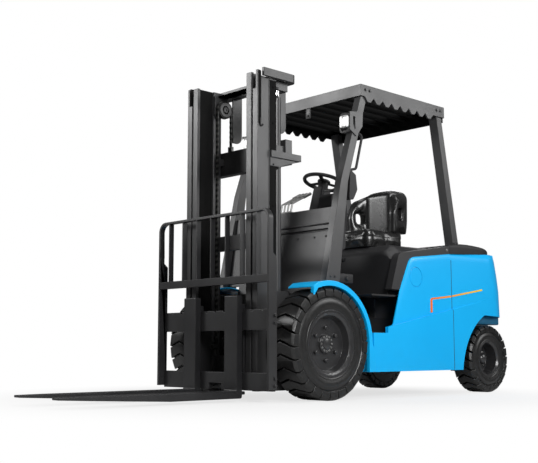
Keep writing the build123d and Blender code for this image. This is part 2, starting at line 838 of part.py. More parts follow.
lamp_x = (-290, -262)
lamp_y = 447
lamp_z = (1772, 1908)
lamp_round = 26
lamp_plate = [(-264, 1790), (-264, 1912), (-398, 1930), (-392, 1828), (-330, 1750)]
lamp_plate_slot = [(-296, 1884), (-296, 1832), (-314, 1790), (-320, 1802), (-318, 1884)]
lamp_plate_wall = 8
tail_lamp_depth = 30


def lamps():
    outer = guard_half_width - guard_sheet
    head = block(lamp_x, (lamp_y, outer + 1), lamp_z)
    head = fillet(head.edges().filter_by(Axis.X), lamp_round)
    head &= block(lamp_x, (lamp_y, outer), lamp_z)
    plate = side_plate(lamp_plate, (outer, outer + lamp_plate_wall))
    plate -= side_plate(lamp_plate_slot, (outer - 1, outer + lamp_plate_wall + 1))
    tail = block((guard_rear_x - tail_lamp_depth, guard_rear_x), (guard_half_width - 130, guard_half_width - 50),
                 (guard_top - skirt_depth + 8, guard_top - 14))
    return both_sides(Compound(children=[*(head + plate).solids(), *tail.solids()]))


handle_z = (1515, 1790)
handle_radius = 9
handle_play = 4
unit_outline = [(-34, 1512), (-78, 1486), (-92, 1386), (-66, 1340), (-50, 1316), (-10, 1316)]
unit_width = 50


def grab_handle():
    y = guard_half_width - guard_sheet - pillar_width / 2
    low, high = handle_z
    path = FilletPolyline((pillar_rear_x(high) - handle_play, y, high), (pillar_rear_x(high) - 62, y, high - 18),
                          (pillar_rear_x(low) - 84, y, low + 20), (pillar_rear_x(low) - handle_play, y, low), radius=24)
    section = Plane(origin=path @ 0, z_dir=path % 0) * Circle(handle_radius)
    edge = front_pillar_knee[1] - handle_play
    unit = side_plate([(edge + dx, z) for dx, z in unit_outline] + [(edge - 22, 1512)],
                      (y - unit_width / 2, y + unit_width / 2))
    return sweep(section, path=path) + unit


# Outer mast: two channels facing each other, tied by beams, pivoted on the drive axle.
tie_x = 128


def channel(half_width, width, web, top):
    back = block((mast_rear, mast_front), (half_width - web, half_width), (mast_foot, top))
    front = block((mast_front - flange, mast_front), (half_width - width, half_width), (mast_foot, top))
    rear = block((mast_rear, mast_rear + flange), (half_width - width, half_width), (mast_foot, top))
    return back + front + rear


def outer_mast():
    half = outer_half_width
    inside = half - outer_web
    upright = channel(half, flange_width, outer_web, outer_top)
    upright -= block((mast_front - flange - 1, mast_front + 1), (half - flange_width - 1, inside),
                     (window_foot, outer_top + 1))
    upright -= block((mast_rear - 1, head_cut_x), (half - flange_width - 1, half + 1),
                     (bracket_bottom - clearance, outer_top + 1))
    upright += disc(roller_x, (inner_half_width - (flange_width - inner_web) / 2 + roller_gap, inside + 1),
                    bracket_bottom - clearance - roller_radius - 4, roller_radius)
    cover_x = (mast_rear + 3, mast_rear + 3 + hose_cover_width)
    upright += block(cover_x, (half, half + hose_cover_wall), (hose_cover_bottom, bracket_bottom - clearance))
    arm = block((beam_rear, mast_rear + 60), (half, half + bracket_wall), (beam_bottom, beam_ledge))
    arm += side_plate([(beam_rear + 12, beam_bottom + 1), (mast_rear + 60, beam_bottom + 1),
                       (mast_rear + 60, beam_bottom - gusset_drop), (gusset_x, beam_bottom - gusset_drop)],
                      (half, half + gusset_wall))
    pivot = side_plate([(mast_front - 60, 200), (mast_front - 60, 640), (mast_rear - 60, 640), (-40, axle_z + 118),
                        (-118, axle_z), (-40, axle_z - 118), (mast_rear - 40, 200)], (half - outer_web, half))
    pivot += disc(0, (half - 70, half), axle_z, axle_radius + 32)
    pivot -= disc(0, (half - 80, half + 10), axle_z, axle_radius + rod_play)
    tie_arm = block((tie_x, mast_rear + 20), (half - outer_web, half), (tilt_pin_z - 50, tilt_pin_z + 50))
    ear = side_plate([(tie_x + 5, tilt_pin_z - 50), (tie_x + 5, tilt_pin_z + 50), (tilt_pin_x - 20, tilt_pin_z + 30),
                      (tilt_pin_x - 20, tilt_pin_z - 30)], (tilt_y + 28, tilt_y + 46))
    ear += disc(tilt_pin_x, (tilt_y - 22, tilt_y + 30), tilt_pin_z, tilt_pin_radius)
    side = upright + arm + pivot + tie_arm + ear
    tie = block((tie_x, tie_x + 24), (-half, half), (tilt_pin_z - 50, tilt_pin_z + 50))
    beam = block((beam_rear, beam_front), (-half - bracket_wall, half + bracket_wall), (beam_bottom, beam_ledge))
    beam = fillet(beam.edges().filter_by(Axis.Z).group_by(Axis.X)[0], beam_corner)
    beam += block((beam_wall_x, beam_front), (-half, half), (beam_skirt, beam_top))
    foot = block((barrel_x - barrel_radius - 30, mast_rear - clearance), (-half, half), (mast_foot, mast_foot + 50))
    for y in (half - flange_width / 2, -half + flange_width / 2):
        foot += block((mast_rear - clearance - 1, mast_rear + 1), (y - flange_width / 2, y + flange_width / 2),
                      (mast_foot, mast_foot + 50))
    foot_wall = block((barrel_x - barrel_radius - 30, barrel_x - barrel_radius - 10), (-half, half),
                      (mast_foot, mast_foot + 200))
    return side + right_hand(side) + beam + tie + foot + foot_wall


def lift_barrels():
    tube = Pos(barrel_x, barrel_y, (mast_foot + 50 + barrel_top) / 2) * Cylinder(barrel_radius,
                                                                                 barrel_top - mast_foot - 50)
    bore_foot = mast_foot + 90
    tube -= Pos(barrel_x, barrel_y, (bore_foot + barrel_top) / 2) * Cylinder(rod_radius + rod_play,
                                                                            barrel_top - bore_foot)
    clamp = block((beam_front, barrel_x + clamp_reach), (barrel_y - clamp_reach, barrel_y + clamp_reach),
                  (beam_ledge, beam_ledge + clamp_height))
    clamp -= Pos(barrel_x, barrel_y, beam_ledge + clamp_height / 2) * Cylinder(barrel_radius - 1, clamp_height + 10)
    return both_sides(tube + clamp)


# Inner mast: beams of I section that ride in the outer channels and are lifted by the rods.
def inner_mast():
    half = inner_half_width
    web_out = half - (flange_width - inner_web) / 2
    web = block((mast_rear, mast_front), (web_out - inner_web, web_out), (mast_foot + 13, outer_top - 5))
    front = block((mast_front - flange, mast_front), (half - flange_width, half), (mast_foot + 13, outer_top - 5))
    rear = block((mast_rear, mast_rear + flange), (half - flange_width, half), (mast_foot + 13, outer_top - 5))
    roller = disc(roller_x, (web_out - 1, outer_half_width - outer_web - roller_gap), mast_foot + 90, roller_radius)
    reach = outer_half_width + clearance
    arm = block((bracket_front - 1, mast_front - 32), (reach, reach + bracket_wall), (bracket_bottom, bracket_top))
    gusset = block((bracket_front - 1, mast_rear + flange), (half - flange_width, half),
                   (bracket_bottom, outer_top - 5))
    guide = side_plate(FilletPolyline((guide_x[1], bracket_bottom + 1), (guide_x[1], guide_bottom),
                                      (guide_x[0], guide_bottom), (guide_x[0], bracket_top - 10),
                                      (bracket_rear + 1, bracket_top - 10), (bracket_rear + 1, bracket_bottom + 1),
                                      radius=[1, 1, guide_corner, 8, 1, 1], close=True),
                       (guide_y, guide_y + guide_wall))
    head = block((122, 245), (barrel_y - 34, barrel_y + 36), (barrel_top + 50, bracket_bottom))
    cheek = block((pulley_x - 48, mast_rear + flange), (pulley_y + chain_width / 2 + 6, half - flange_width + 2),
                  (pulley_z - 44, bracket_bottom))
    axle = disc(pulley_x, (pulley_y - chain_width / 2, pulley_y + chain_width / 2 + 8), pulley_z, pulley_axle)
    side = web + front + rear + roller + arm + gusset + guide + head + cheek + axle
    top = block((bracket_rear, bracket_front), (-reach - bracket_wall, reach + bracket_wall),
                (bracket_bottom, bracket_top))
    top = fillet(top.edges().filter_by(Axis.Z).group_by(Axis.X)[0], bracket_corner)
    foot = block((mast_rear - 48, mast_rear), (-half + flange_width - 10, half - flange_width + 10), (140, 280))
    middle = block((mast_rear - 30, mast_rear), (-half + flange_width - 10, half - flange_width + 10), (980, 1080))
    return side + right_hand(side) + top + foot + middle


def lift_rods():
    foot = mast_foot + 100
    return both_sides(rod((barrel_x, barrel_y, foot), (barrel_x, barrel_y, barrel_top + 50), rod_radius))


def chain_pulleys():
    half = chain_width / 2
    lip = chain_inset - 1
    wheel = turned([(pulley_axle + running_play, -half), (pulley_radius + chain_thickness / 2, -half),
                    (pulley_radius + chain_thickness / 2, -half + lip), (pulley_radius, -half + lip),
                    (pulley_radius, half - lip), (pulley_radius + chain_thickness / 2, half - lip),
                    (pulley_radius + chain_thickness / 2, half), (pulley_axle + running_play, half)])
    wrap = ring(0, 0, 0, pulley_radius + chain_thickness, pulley_radius - 1, chain_width - 2 * chain_inset)
    reach = pulley_radius + 2 * chain_thickness
    wrap &= block((-reach, reach), (-half, half), (seat_play, reach))
    return both_sides(Pos(pulley_x, pulley_y, pulley_z) * (wheel + wrap))


chain_inset = 4
chain_foot_z = 350


def chain_run(x, z):
    """A run of leaf chain with a waist between its pins, seen from the side."""
    links = round((z[1] - z[0]) / chain_pitch)
    step = (z[1] - z[0]) / links / 2
    wide = (x[0], x[1])
    narrow = (x[0] + chain_waist, x[1] - chain_waist)
    rows = [(wide if i % 2 == 0 else narrow, z[0] + i * step) for i in range(2 * links + 1)]
    outline = [(row[0], height) for row, height in rows]
    outline += [(row[1], height) for row, height in reversed(rows)]
    y = (pulley_y - chain_width / 2 + chain_inset, pulley_y + chain_width / 2 - chain_inset)
    return side_plate(outline, y)


def chain_front_runs():
    x = (pulley_x + pulley_radius + seat_play, pulley_x + pulley_radius + chain_thickness)
    return both_sides(chain_run(x, (chain_foot_z, pulley_z)))


def chain_rear_runs():
    x = (pulley_x - pulley_radius - chain_thickness, pulley_x - pulley_radius - seat_play)
    return both_sides(chain_run(x, (beam_top, pulley_z)))


# Carriage: two bars that carry the forks, on side plates with rollers in the inner mast.
def carriage_frame():
    upper = block((bar_rear, bar_front), (-bar_half_width, bar_half_width), (upper_bar_bottom, upper_bar_top))
    lower = block((bar_rear, bar_front), (-bar_half_width, bar_half_width), (lower_bar_bottom, lower_bar_top))
    lower -= block((bar_rear - 1, bar_front + 1), (-60, 60), (lower_bar_bottom - 1, lower_bar_bottom + 40))
    for i in range(-notch_count, notch_count + 1):
        y = i * notch_pitch
        upper -= block((bar_rear - 1, bar_front + 1), (y - notch_width / 2, y + notch_width / 2),
                       (upper_bar_top - notch_depth, upper_bar_top + 1))
    plate_y = inner_half_width - flange_width - clearance - 1
    plate = side_plate([(bar_rear, lower_bar_bottom + 20), (bar_rear, upper_bar_top - 6), (roller_x - 40, upper_bar_top - 6),
                        (roller_x - 40, lower_bar_bottom + 20)], (plate_y - 18, plate_y))
    web_in = inner_half_width - (flange_width + inner_web) / 2
    for z in (lower_bar_bottom + 90, upper_bar_top - 90):
        plate += disc(roller_x, (plate_y - 1, web_in - roller_gap + 1), z, roller_radius)
    lug_x = (mast_rear + clearance, roller_x - 30)
    lug = block(lug_x, (pulley_y - chain_width / 2, plate_y), (chain_foot_z - 30, chain_foot_z))
    half = plate + lug
    return upper + lower + half + right_hand(half)


def frame_hoop(half_width, low, high, corner):
    """The face inside a hoop with two rounded top corners, in the plane across the truck."""
    outline = FilletPolyline((-half_width, low), (-half_width, high), (half_width, high), (half_width, low),
                             radius=[0.5, corner, corner, 0.5], close=True)
    return make_face(outline)


def load_backrest():
    front = fork_face - 2
    rear = front - end_plate_depth
    outer = bar_half_width + end_plate_wall
    slim = front - backrest_bar_depth
    plate = side_plate(FilletPolyline((rear, lower_bar_bottom + 12), (rear, backrest_neck - 25), (slim, backrest_neck),
                                      (slim, backrest_neck + 40), (front, backrest_neck + 40),
                                      (front, lower_bar_bottom + 12), radius=[2, 8, 8, 2, 2, 2], close=True),
                       (bar_half_width, outer))
    across = Plane(origin=(slim, 0, 0), x_dir=(0, 1, 0), z_dir=(1, 0, 0))
    hoop = extrude(across * (frame_hoop(outer, backrest_neck, backrest_top, backrest_corner)
                             - frame_hoop(outer - backrest_tube, backrest_neck - 5, backrest_top - backrest_tube,
                                          backrest_corner - backrest_tube)), amount=backrest_bar_depth)
    bars = plate + right_hand(plate) + hoop
    bars += block((slim, front), (-bar_half_width, bar_half_width), (backrest_rail, backrest_rail + backrest_rail_height))
    for i in range(-3, 4):
        y = i * backrest_bar_pitch
        half = backrest_bar_wall / 2
        bars += block((slim, front), (y - half, y + half), (backrest_rail, backrest_top - backrest_tube / 2))
    return bars


# Forks: forged arms hooked over the two bars, thinned to the tip.
def fork():
    tip = fork_tip
    blade_top = fork_bottom + fork_thickness
    outline = FilletPolyline((fork_back, fork_bottom), (fork_back, fork_top), (fork_face, fork_top),
                             (fork_face, blade_top), (tip, blade_top), (tip, blade_top - fork_tip_thickness),
                             (1000, fork_bottom),
                             radius=[14, 6, 6, 8, 3, 5, 300], close=True)
    half = fork_width / 2
    arm = side_plate(outline, (fork_y - half, fork_y + half))
    plan = make_face(Polyline((fork_back - 60, fork_y - half), (tip - 190, fork_y - half),
                              (tip, fork_y - fork_tip_width / 2), (tip, fork_y + fork_tip_width / 2),
                              (tip - 190, fork_y + half), (fork_back - 60, fork_y + half), close=True))
    arm &= extrude(plan, amount=fork_top + 50)
    top_hook = block((bar_rear + 4, fork_back + 5), (fork_y - half, fork_y + half),
                     (upper_bar_top + seat_play, upper_bar_top + 36))
    low_hook = block((bar_rear + 4, fork_back + 5), (fork_y - half, fork_y + half),
                     (lower_bar_bottom - 26, lower_bar_bottom - clearance))
    return arm + top_hook + low_hook


# Tilt cylinders: barrels pinned to the chassis, rods pinned to the outer mast.
tilt_run = hypot(tilt_pin_x - tilt_foot_x, tilt_pin_z - tilt_foot_z)
tilt_slope = atan2(tilt_pin_z - tilt_foot_z, tilt_pin_x - tilt_foot_x)
tilt_eye_width = 34
tilt_eye_radius = 38
tilt_barrel_end = 330


def along_tilt(distance):
    return (tilt_foot_x + distance * cos(tilt_slope), tilt_y, tilt_foot_z + distance * sin(tilt_slope))


def tilt_barrel():
    tube = rod(along_tilt(30), along_tilt(tilt_barrel_end), tilt_barrel_radius)
    tube -= rod(along_tilt(60), along_tilt(tilt_barrel_end + 1), tilt_rod_radius + rod_play)
    y = (tilt_y - tilt_eye_width / 2, tilt_y + tilt_eye_width / 2)
    eye = disc(tilt_foot_x, y, tilt_foot_z, tilt_eye_radius)
    return tube + eye - disc(tilt_foot_x, y, tilt_foot_z, tilt_pin_radius + running_play)


def tilt_rod():
    y = (tilt_y - tilt_eye_width / 2, tilt_y + tilt_eye_width / 2)
    bar = rod(along_tilt(110), along_tilt(tilt_run - 25), tilt_rod_radius)
    eye = disc(tilt_pin_x, y, tilt_pin_z, tilt_eye_radius)
    return bar + eye - disc(tilt_pin_x, y, tilt_pin_z, tilt_pin_radius + tilt_pin_play)


os.makedirs("parts", exist_ok=True)

front_tyre = tyre(front_radius, front_width, front_rim_radius, front_sidewall, front_lugs)
rear_tyre = tyre(rear_radius, rear_width, rear_rim_radius, rear_sidewall, rear_lugs)
for name, x, y, radius, rubber, rim in (
        ("front", 0, front_wheel_y, front_radius, front_tyre, front_rim()),
        ("rear", -wheelbase, rear_wheel_y, rear_radius, rear_tyre, rear_rim())):
    place = Pos(x, y, radius)
    save(f"tyre_{name}_left", place * rubber)
    save(f"rim_{name}_left", place * rim)
    save(f"tyre_{name}_right", right_hand(place * rubber))
    save(f"rim_{name}_right", right_hand(place * rim))

for node, maker in (("knuckle", knuckle), ("fender", fender), ("fork", fork), ("tilt_barrel", tilt_barrel),
                    ("tilt_rod", tilt_rod)):
    piece = maker()
    save(f"{node}_left", piece)
    save(f"{node}_right", right_hand(piece))

save("side_panel_left", side_panel(True))
save("side_panel_right", right_hand(side_panel(False)))
save("charge_flap", charge_flap())
save("body_trim", both_sides(body_trim()))

for maker in (chassis_frame, drive_axle, steer_axle, battery_pack, counterweight, hood, seat_cushion, seat_back,
              rear_cover, floor_plate, front_cowl, dashboard, steering_column, steering_wheel, control_levers, pedals,
              overhead_guard, guard_pillars, lamps, grab_handle, outer_mast, lift_barrels, inner_mast, lift_rods,
              chain_pulleys, chain_front_runs, chain_rear_runs, carriage_frame, load_backrest):
    save(maker.__name__, maker())
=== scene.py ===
import json
from math import cos, pi, radians, sin

import bpy
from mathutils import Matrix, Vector

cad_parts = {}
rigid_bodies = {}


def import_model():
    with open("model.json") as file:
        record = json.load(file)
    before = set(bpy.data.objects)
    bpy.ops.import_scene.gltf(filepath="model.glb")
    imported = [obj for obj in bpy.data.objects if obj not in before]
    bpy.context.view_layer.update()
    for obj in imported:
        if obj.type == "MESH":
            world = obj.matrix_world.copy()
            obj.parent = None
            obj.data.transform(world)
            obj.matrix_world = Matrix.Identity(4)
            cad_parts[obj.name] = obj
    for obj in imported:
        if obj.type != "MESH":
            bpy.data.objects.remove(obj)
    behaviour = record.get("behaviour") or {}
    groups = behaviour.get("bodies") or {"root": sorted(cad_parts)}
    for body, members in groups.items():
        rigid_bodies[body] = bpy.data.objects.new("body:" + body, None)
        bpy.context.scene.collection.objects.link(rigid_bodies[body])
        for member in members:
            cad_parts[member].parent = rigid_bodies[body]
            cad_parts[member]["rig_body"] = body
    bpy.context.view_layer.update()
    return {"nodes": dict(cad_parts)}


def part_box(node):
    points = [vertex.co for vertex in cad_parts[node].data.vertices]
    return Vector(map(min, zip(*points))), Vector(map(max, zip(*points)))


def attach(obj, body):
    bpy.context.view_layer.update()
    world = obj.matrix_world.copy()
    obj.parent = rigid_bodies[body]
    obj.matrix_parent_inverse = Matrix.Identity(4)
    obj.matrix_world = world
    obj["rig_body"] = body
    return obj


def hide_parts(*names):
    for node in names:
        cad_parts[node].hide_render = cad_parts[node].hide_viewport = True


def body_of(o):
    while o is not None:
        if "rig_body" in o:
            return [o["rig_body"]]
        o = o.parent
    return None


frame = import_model()

# Chassis, axles, knuckles and battery: welded plate and castings under the body.
# They are sprayed with a dull black primer, which road dust greys from below.
# Their edges are ground, so each shows as a copy of its solid with rounded edges.


class Signal:
    """One socket of a finish. It takes part in plain arithmetic, and adds any other node."""

    def __init__(self, tree, socket=None):
        self.tree = tree
        self.socket = socket

    def node(self, kind, settings=None, output=0, inputs=None):
        made = self.tree.nodes.new("ShaderNode" + kind)
        for name, value in (settings or {}).items():
            setattr(made, name, value)
        for name, value in (inputs or {}).items():
            if isinstance(value, Signal):
                self.tree.links.new(value.socket, made.inputs[name])
            elif hasattr(value, "__len__") and len(value) == 3 and made.inputs[name].type == "RGBA":
                made.inputs[name].default_value = (*value, 1)
            else:
                made.inputs[name].default_value = value
        return Signal(self.tree, made.outputs[output])

    def math(self, operation, first, second=0.0):
        return self.node("Math", {"operation": operation}, inputs={0: first, 1: second})

    def __add__(self, other):
        return self.math("ADD", self, other)

    def __radd__(self, other):
        return self.math("ADD", other, self)

    def __sub__(self, other):
        return self.math("SUBTRACT", self, other)

    def __rsub__(self, other):
        return self.math("SUBTRACT", other, self)

    def __mul__(self, other):
        return self.math("MULTIPLY", self, other)

    def __rmul__(self, other):
        return self.math("MULTIPLY", other, self)

    def clamped(self):
        return self.node("Clamp", inputs={"Value": self})

    def blend(self, first, second):
        """A colour between two others, by this share."""
        return self.node("Mix", {"data_type": "RGBA"}, 2, {0: self, 6: first, 7: second})


class Finish(Signal):
    """A material on the object's own coordinates, with a shader that its signals feed."""

    def __init__(self, name, **settings):
        self.material = bpy.data.materials.new(name)
        self.material.use_nodes = True
        super().__init__(self.material.node_tree)
        self.shader = self.tree.nodes["Principled BSDF"]
        self.place = self.node("TexCoord", output=3)
        self.set(**settings)

    def set(self, **settings):
        for name, value in settings.items():
            target = self.shader.inputs[name.replace("_", " ")]
            if isinstance(value, Signal):
                self.tree.links.new(value.socket, target)
            elif hasattr(value, "__len__"):
                target.default_value = (*value, 1)
            else:
                target.default_value = value

    def noise(self, scale, detail=3.0, stretch=(1, 1, 1)):
        spread = self.node("Mapping", inputs={"Vector": self.place, "Scale": stretch})
        return self.node("TexNoise", inputs={"Vector": spread, "Scale": scale, "Detail": detail})

    def axis(self, name):
        return self.node("SeparateXYZ", output="XYZ".index(name), inputs={0: self.place})

    def bump(self, height, distance, strength=0.4):
        self.set(Normal=self.node("Bump", inputs={"Strength": strength, "Distance": distance, "Height": height}))

    def ramp(self, value, low, high, first, second):
        """A colour that goes from one to another between two values."""
        share = self.node("MapRange", inputs={"Value": value, "From Min": low, "From Max": high})
        return share.blend(first, second)


def graded(table, value):
    """A value read between the rows of a table."""
    for (low, first), (high, last) in zip(table, table[1:]):
        if value <= high:
            return first + (last - first) * max(0, value - low) / (high - low)
    return table[-1][1]


def satin_paint(name, colour, roughness, dust=0.25, coat=0.0):
    """Sprayed paint with a faint peel, cloudy gloss, rubbed patches and dust towards the ground."""
    paint = Finish(name, Specular_IOR_Level=0.5, Coat_Weight=coat, Coat_Roughness=0.15)
    cloud = paint.noise(6.0)
    speck = paint.noise(420.0, 2.0)
    rubbed = (3.0 * paint.noise(38.0, 6.0) - 1.75).clamped()
    low = paint.node("MapRange", inputs={"Value": paint.axis("Z"), "From Min": 0.7, "From Max": 0.05,
                                        "To Min": 0.0, "To Max": dust})
    soil = (low * cloud * 1.5).clamped()
    paler = tuple(0.06 + 0.9 * channel for channel in colour)
    worn = tuple(1.25 * channel + 0.008 for channel in colour)
    paint.set(Base_Color=soil.blend((0.5 * rubbed).blend(tuple(colour), worn), paler),
              Roughness=roughness + 0.16 * (cloud - 0.5) + 0.08 * (speck - 0.5) + 0.2 * soil)
    paint.bump(speck, 0.0006, 0.25)
    return paint.material


def carrier_of(node):
    return body_of(frame["nodes"][node])[0]


weld = 0.00002
level = radians(0.6)
crisp = radians(32)


def eased(finish, width, *nodes, guarded=False, cuts=(), move=None):
    """Copy each solid, round its edges, and let the copy stand for it.

    Guarded edges stop where they would meet. Cuts add lines where planes cross the copy, and move then bends it.
    """
    for node in nodes:
        bpy.ops.object.select_all(action="DESELECT")
        piece = bpy.data.objects.new(f"{node}_eased", frame["nodes"][node].data.copy())
        bpy.context.collection.objects.link(piece)
        piece.select_set(True)
        bpy.context.view_layer.objects.active = piece
        bpy.ops.object.mode_set(mode="EDIT")
        bpy.ops.mesh.select_all(action="SELECT")
        bpy.ops.mesh.remove_doubles(threshold=weld)
        bpy.ops.mesh.dissolve_limited(angle_limit=level)
        for place, normal in cuts:
            bpy.ops.mesh.select_all(action="SELECT")
            bpy.ops.mesh.bisect(plane_co=place, plane_no=normal)
        bpy.ops.object.mode_set(mode="OBJECT")
        for point in piece.data.vertices if move else ():
            point.co = move(point.co)
        edges = piece.modifiers.new("edges", "BEVEL")
        edges.width = width
        edges.segments = 2
        edges.limit_method = "ANGLE"
        edges.angle_limit = crisp
        edges.use_clamp_overlap = guarded
        bpy.ops.object.modifier_apply(modifier="edges")
        bpy.ops.object.shade_smooth_by_angle(angle=crisp)
        flat = piece.modifiers.new("flat", "WEIGHTED_NORMAL")
        flat.keep_sharp = True
        bpy.ops.object.modifier_apply(modifier="flat")
        piece.data.materials.clear()
        piece.data.materials.append(finish)
        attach(piece, carrier_of(node))
        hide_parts(node)


def dress(finish, *nodes):
    """Give solids that keep their own shape a finish."""
    for node in nodes:
        frame["nodes"][node].data.materials.clear()
        frame["nodes"][node].data.materials.append(finish)


chassis_paint = satin_paint("chassis_paint", (0.008, 0.008, 0.009), 0.5, 0.3)
eased(chassis_paint, 0.002, "chassis_frame", "drive_axle", "steer_axle", "knuckle_left", "knuckle_right")
battery_case = satin_paint("battery_case", (0.03, 0.03, 0.032), 0.45, 0.2)
eased(battery_case, 0.004, "battery_pack")

# Tyres: solid black rubber, cured with chevron lugs and smooth flanks, and pressed on to the rims.
# The lugs are scuffed grey where they meet the ground, and their corners are worn round.
rubber = Finish("tyre_rubber", Specular_IOR_Level=0.5)
rubber_cloud = rubber.noise(9.0)
rubber_grain = rubber.noise(260.0, 4.0)
rubber_scuff = (2.6 * rubber.noise(55.0, 6.0) - 1.2).clamped()
rubber.set(Base_Color=(0.6 * rubber_scuff * rubber_cloud).blend((0.007, 0.007, 0.007), (0.045, 0.044, 0.042)),
           Roughness=0.27 + 0.16 * rubber_grain)
rubber.bump(rubber_grain, 0.0012, 0.3)
corners = [f"{end}_{side}" for end in ("front", "rear") for side in ("left", "right")]


def middle(node):
    low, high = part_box(node)
    return (low + high) / 2


axle_x = middle("tyre_front_left").x


def at(x, y, z):
    """A place in millimetres, with x measured from the front axle."""
    return Vector((axle_x + x / 1000, y / 1000, z / 1000))


tyre_bead = {"front": 0.2935, "rear": 0.1995}
wall_from, wall_set_back = 0.07, 0.009
quarters = {}
for corner in corners:
    centre = middle(f"tyre_{corner}")
    bead = tyre_bead[corner.split("_")[0]]
    quarters[corner] = [(centre, Vector((1, 0, 0))), (centre, Vector((0, 0, 1)))]
    eased(rubber.material, 0.003, f"tyre_{corner}", cuts=quarters[corner])
    for point in bpy.data.objects[f"tyre_{corner}_eased"].data.vertices:
        away = point.co - centre
        outer = away.y * centre.y > 0 and abs(away.y) > wall_from
        if outer and Vector((away.x, away.z)).length < bead:
            point.co.y -= wall_set_back if centre.y > 0 else -wall_set_back

# Rims: pressed steel discs welded into rolled rings, in dark grey paint.
# A turned cap closes each hub, held by a ring of small bolts at the front and by wheel nuts behind.
rim_paint = satin_paint("rim_paint", (0.02, 0.02, 0.021), 0.3, 0.06, 0.2)
for corner in corners:
    eased(rim_paint, 0.0015, f"rim_{corner}", cuts=quarters[corner])
bolt_zinc = Finish("bolt_zinc", Metallic=0.8)
bolt_cloud = bolt_zinc.noise(60.0, 4.0)
bolt_zinc.set(Base_Color=bolt_cloud.blend((0.16, 0.16, 0.16), (0.34, 0.34, 0.33)), Roughness=0.3 + 0.2 * bolt_cloud)


def settle(name, finish, carrier):
    """Put the active object's place into its mesh, finish it, and hang it on what carries it."""
    piece = bpy.context.object
    bpy.ops.object.transform_apply(location=True, rotation=True, scale=True)
    bpy.ops.object.shade_smooth_by_angle(angle=crisp)
    piece.name = name
    piece.data.materials.clear()
    piece.data.materials.append(finish)
    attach(piece, carrier_of(carrier))
    return piece


facing = {"+X": (0, pi / 2, 0), "-X": (0, -pi / 2, 0), "+Y": (-pi / 2, 0, 0), "-Y": (pi / 2, 0, 0), "+Z": (0, 0, 0)}


def turned(name, profile, centre, way, steps, finish, carrier):
    """Spin a profile of (radius, height) points about an axis that leaves the centre."""
    bpy.ops.object.select_all(action="DESELECT")
    bpy.ops.mesh.primitive_plane_add(size=0.01, location=(0, 0, 0))
    bpy.ops.object.mode_set(mode="EDIT")
    bpy.ops.mesh.select_all(action="SELECT")
    bpy.ops.mesh.merge(type="CENTER")
    bpy.ops.transform.translate(value=(profile[0][0], 0, profile[0][1]))
    for (r0, h0), (r1, h1) in zip(profile, profile[1:]):
        bpy.ops.mesh.extrude_region_move(TRANSFORM_OT_translate={"value": (r1 - r0, 0, h1 - h0)})
    bpy.ops.mesh.select_all(action="SELECT")
    bpy.ops.mesh.spin(steps=steps, angle=2 * pi, center=(0, 0, 0), axis=(0, 0, 1))
    bpy.ops.mesh.select_all(action="SELECT")
    bpy.ops.mesh.remove_doubles(threshold=weld)
    bpy.ops.mesh.normals_make_consistent(inside=False)
    bpy.ops.object.mode_set(mode="OBJECT")
    bpy.context.object.rotation_euler = facing[way]
    bpy.context.object.location = centre
    return settle(name, finish, carrier)


def bolts(name, places, way, radius, finish, carrier):
    """Six-sided heads on washers, modelled once, copied to each place and joined."""
    bpy.ops.object.select_all(action="DESELECT")
    bpy.ops.mesh.primitive_cylinder_add(vertices=6, radius=radius, depth=0.8 * radius, location=(0, 0, 0.55 * radius))
    bpy.ops.object.transform_apply(location=True)
    bpy.ops.object.mode_set(mode="EDIT")
    bpy.ops.mesh.select_all(action="SELECT")
    bpy.ops.mesh.bevel(offset=0.12 * radius, segments=1, affect="EDGES")
    bpy.ops.mesh.primitive_cylinder_add(vertices=14, radius=1.35 * radius, depth=0.3 * radius,
                                        location=(0, 0, 0.1 * radius))
    bpy.ops.mesh.bevel(offset=0.06 * radius, segments=1, affect="EDGES")
    bpy.ops.object.mode_set(mode="OBJECT")
    first = bpy.context.object
    copies = [first]
    for place in places[1:]:
        copy = bpy.data.objects.new(name, first.data.copy())
        bpy.context.collection.objects.link(copy)
        copies.append(copy)
    for copy, place in zip(copies, places):
        copy.rotation_euler = facing[way]
        copy.location = place
        copy.select_set(True)
    bpy.context.view_layer.objects.active = first
    bpy.ops.object.transform_apply(location=True, rotation=True, scale=True)
    if len(copies) > 1:
        bpy.ops.object.join()
    return settle(name, finish, carrier)


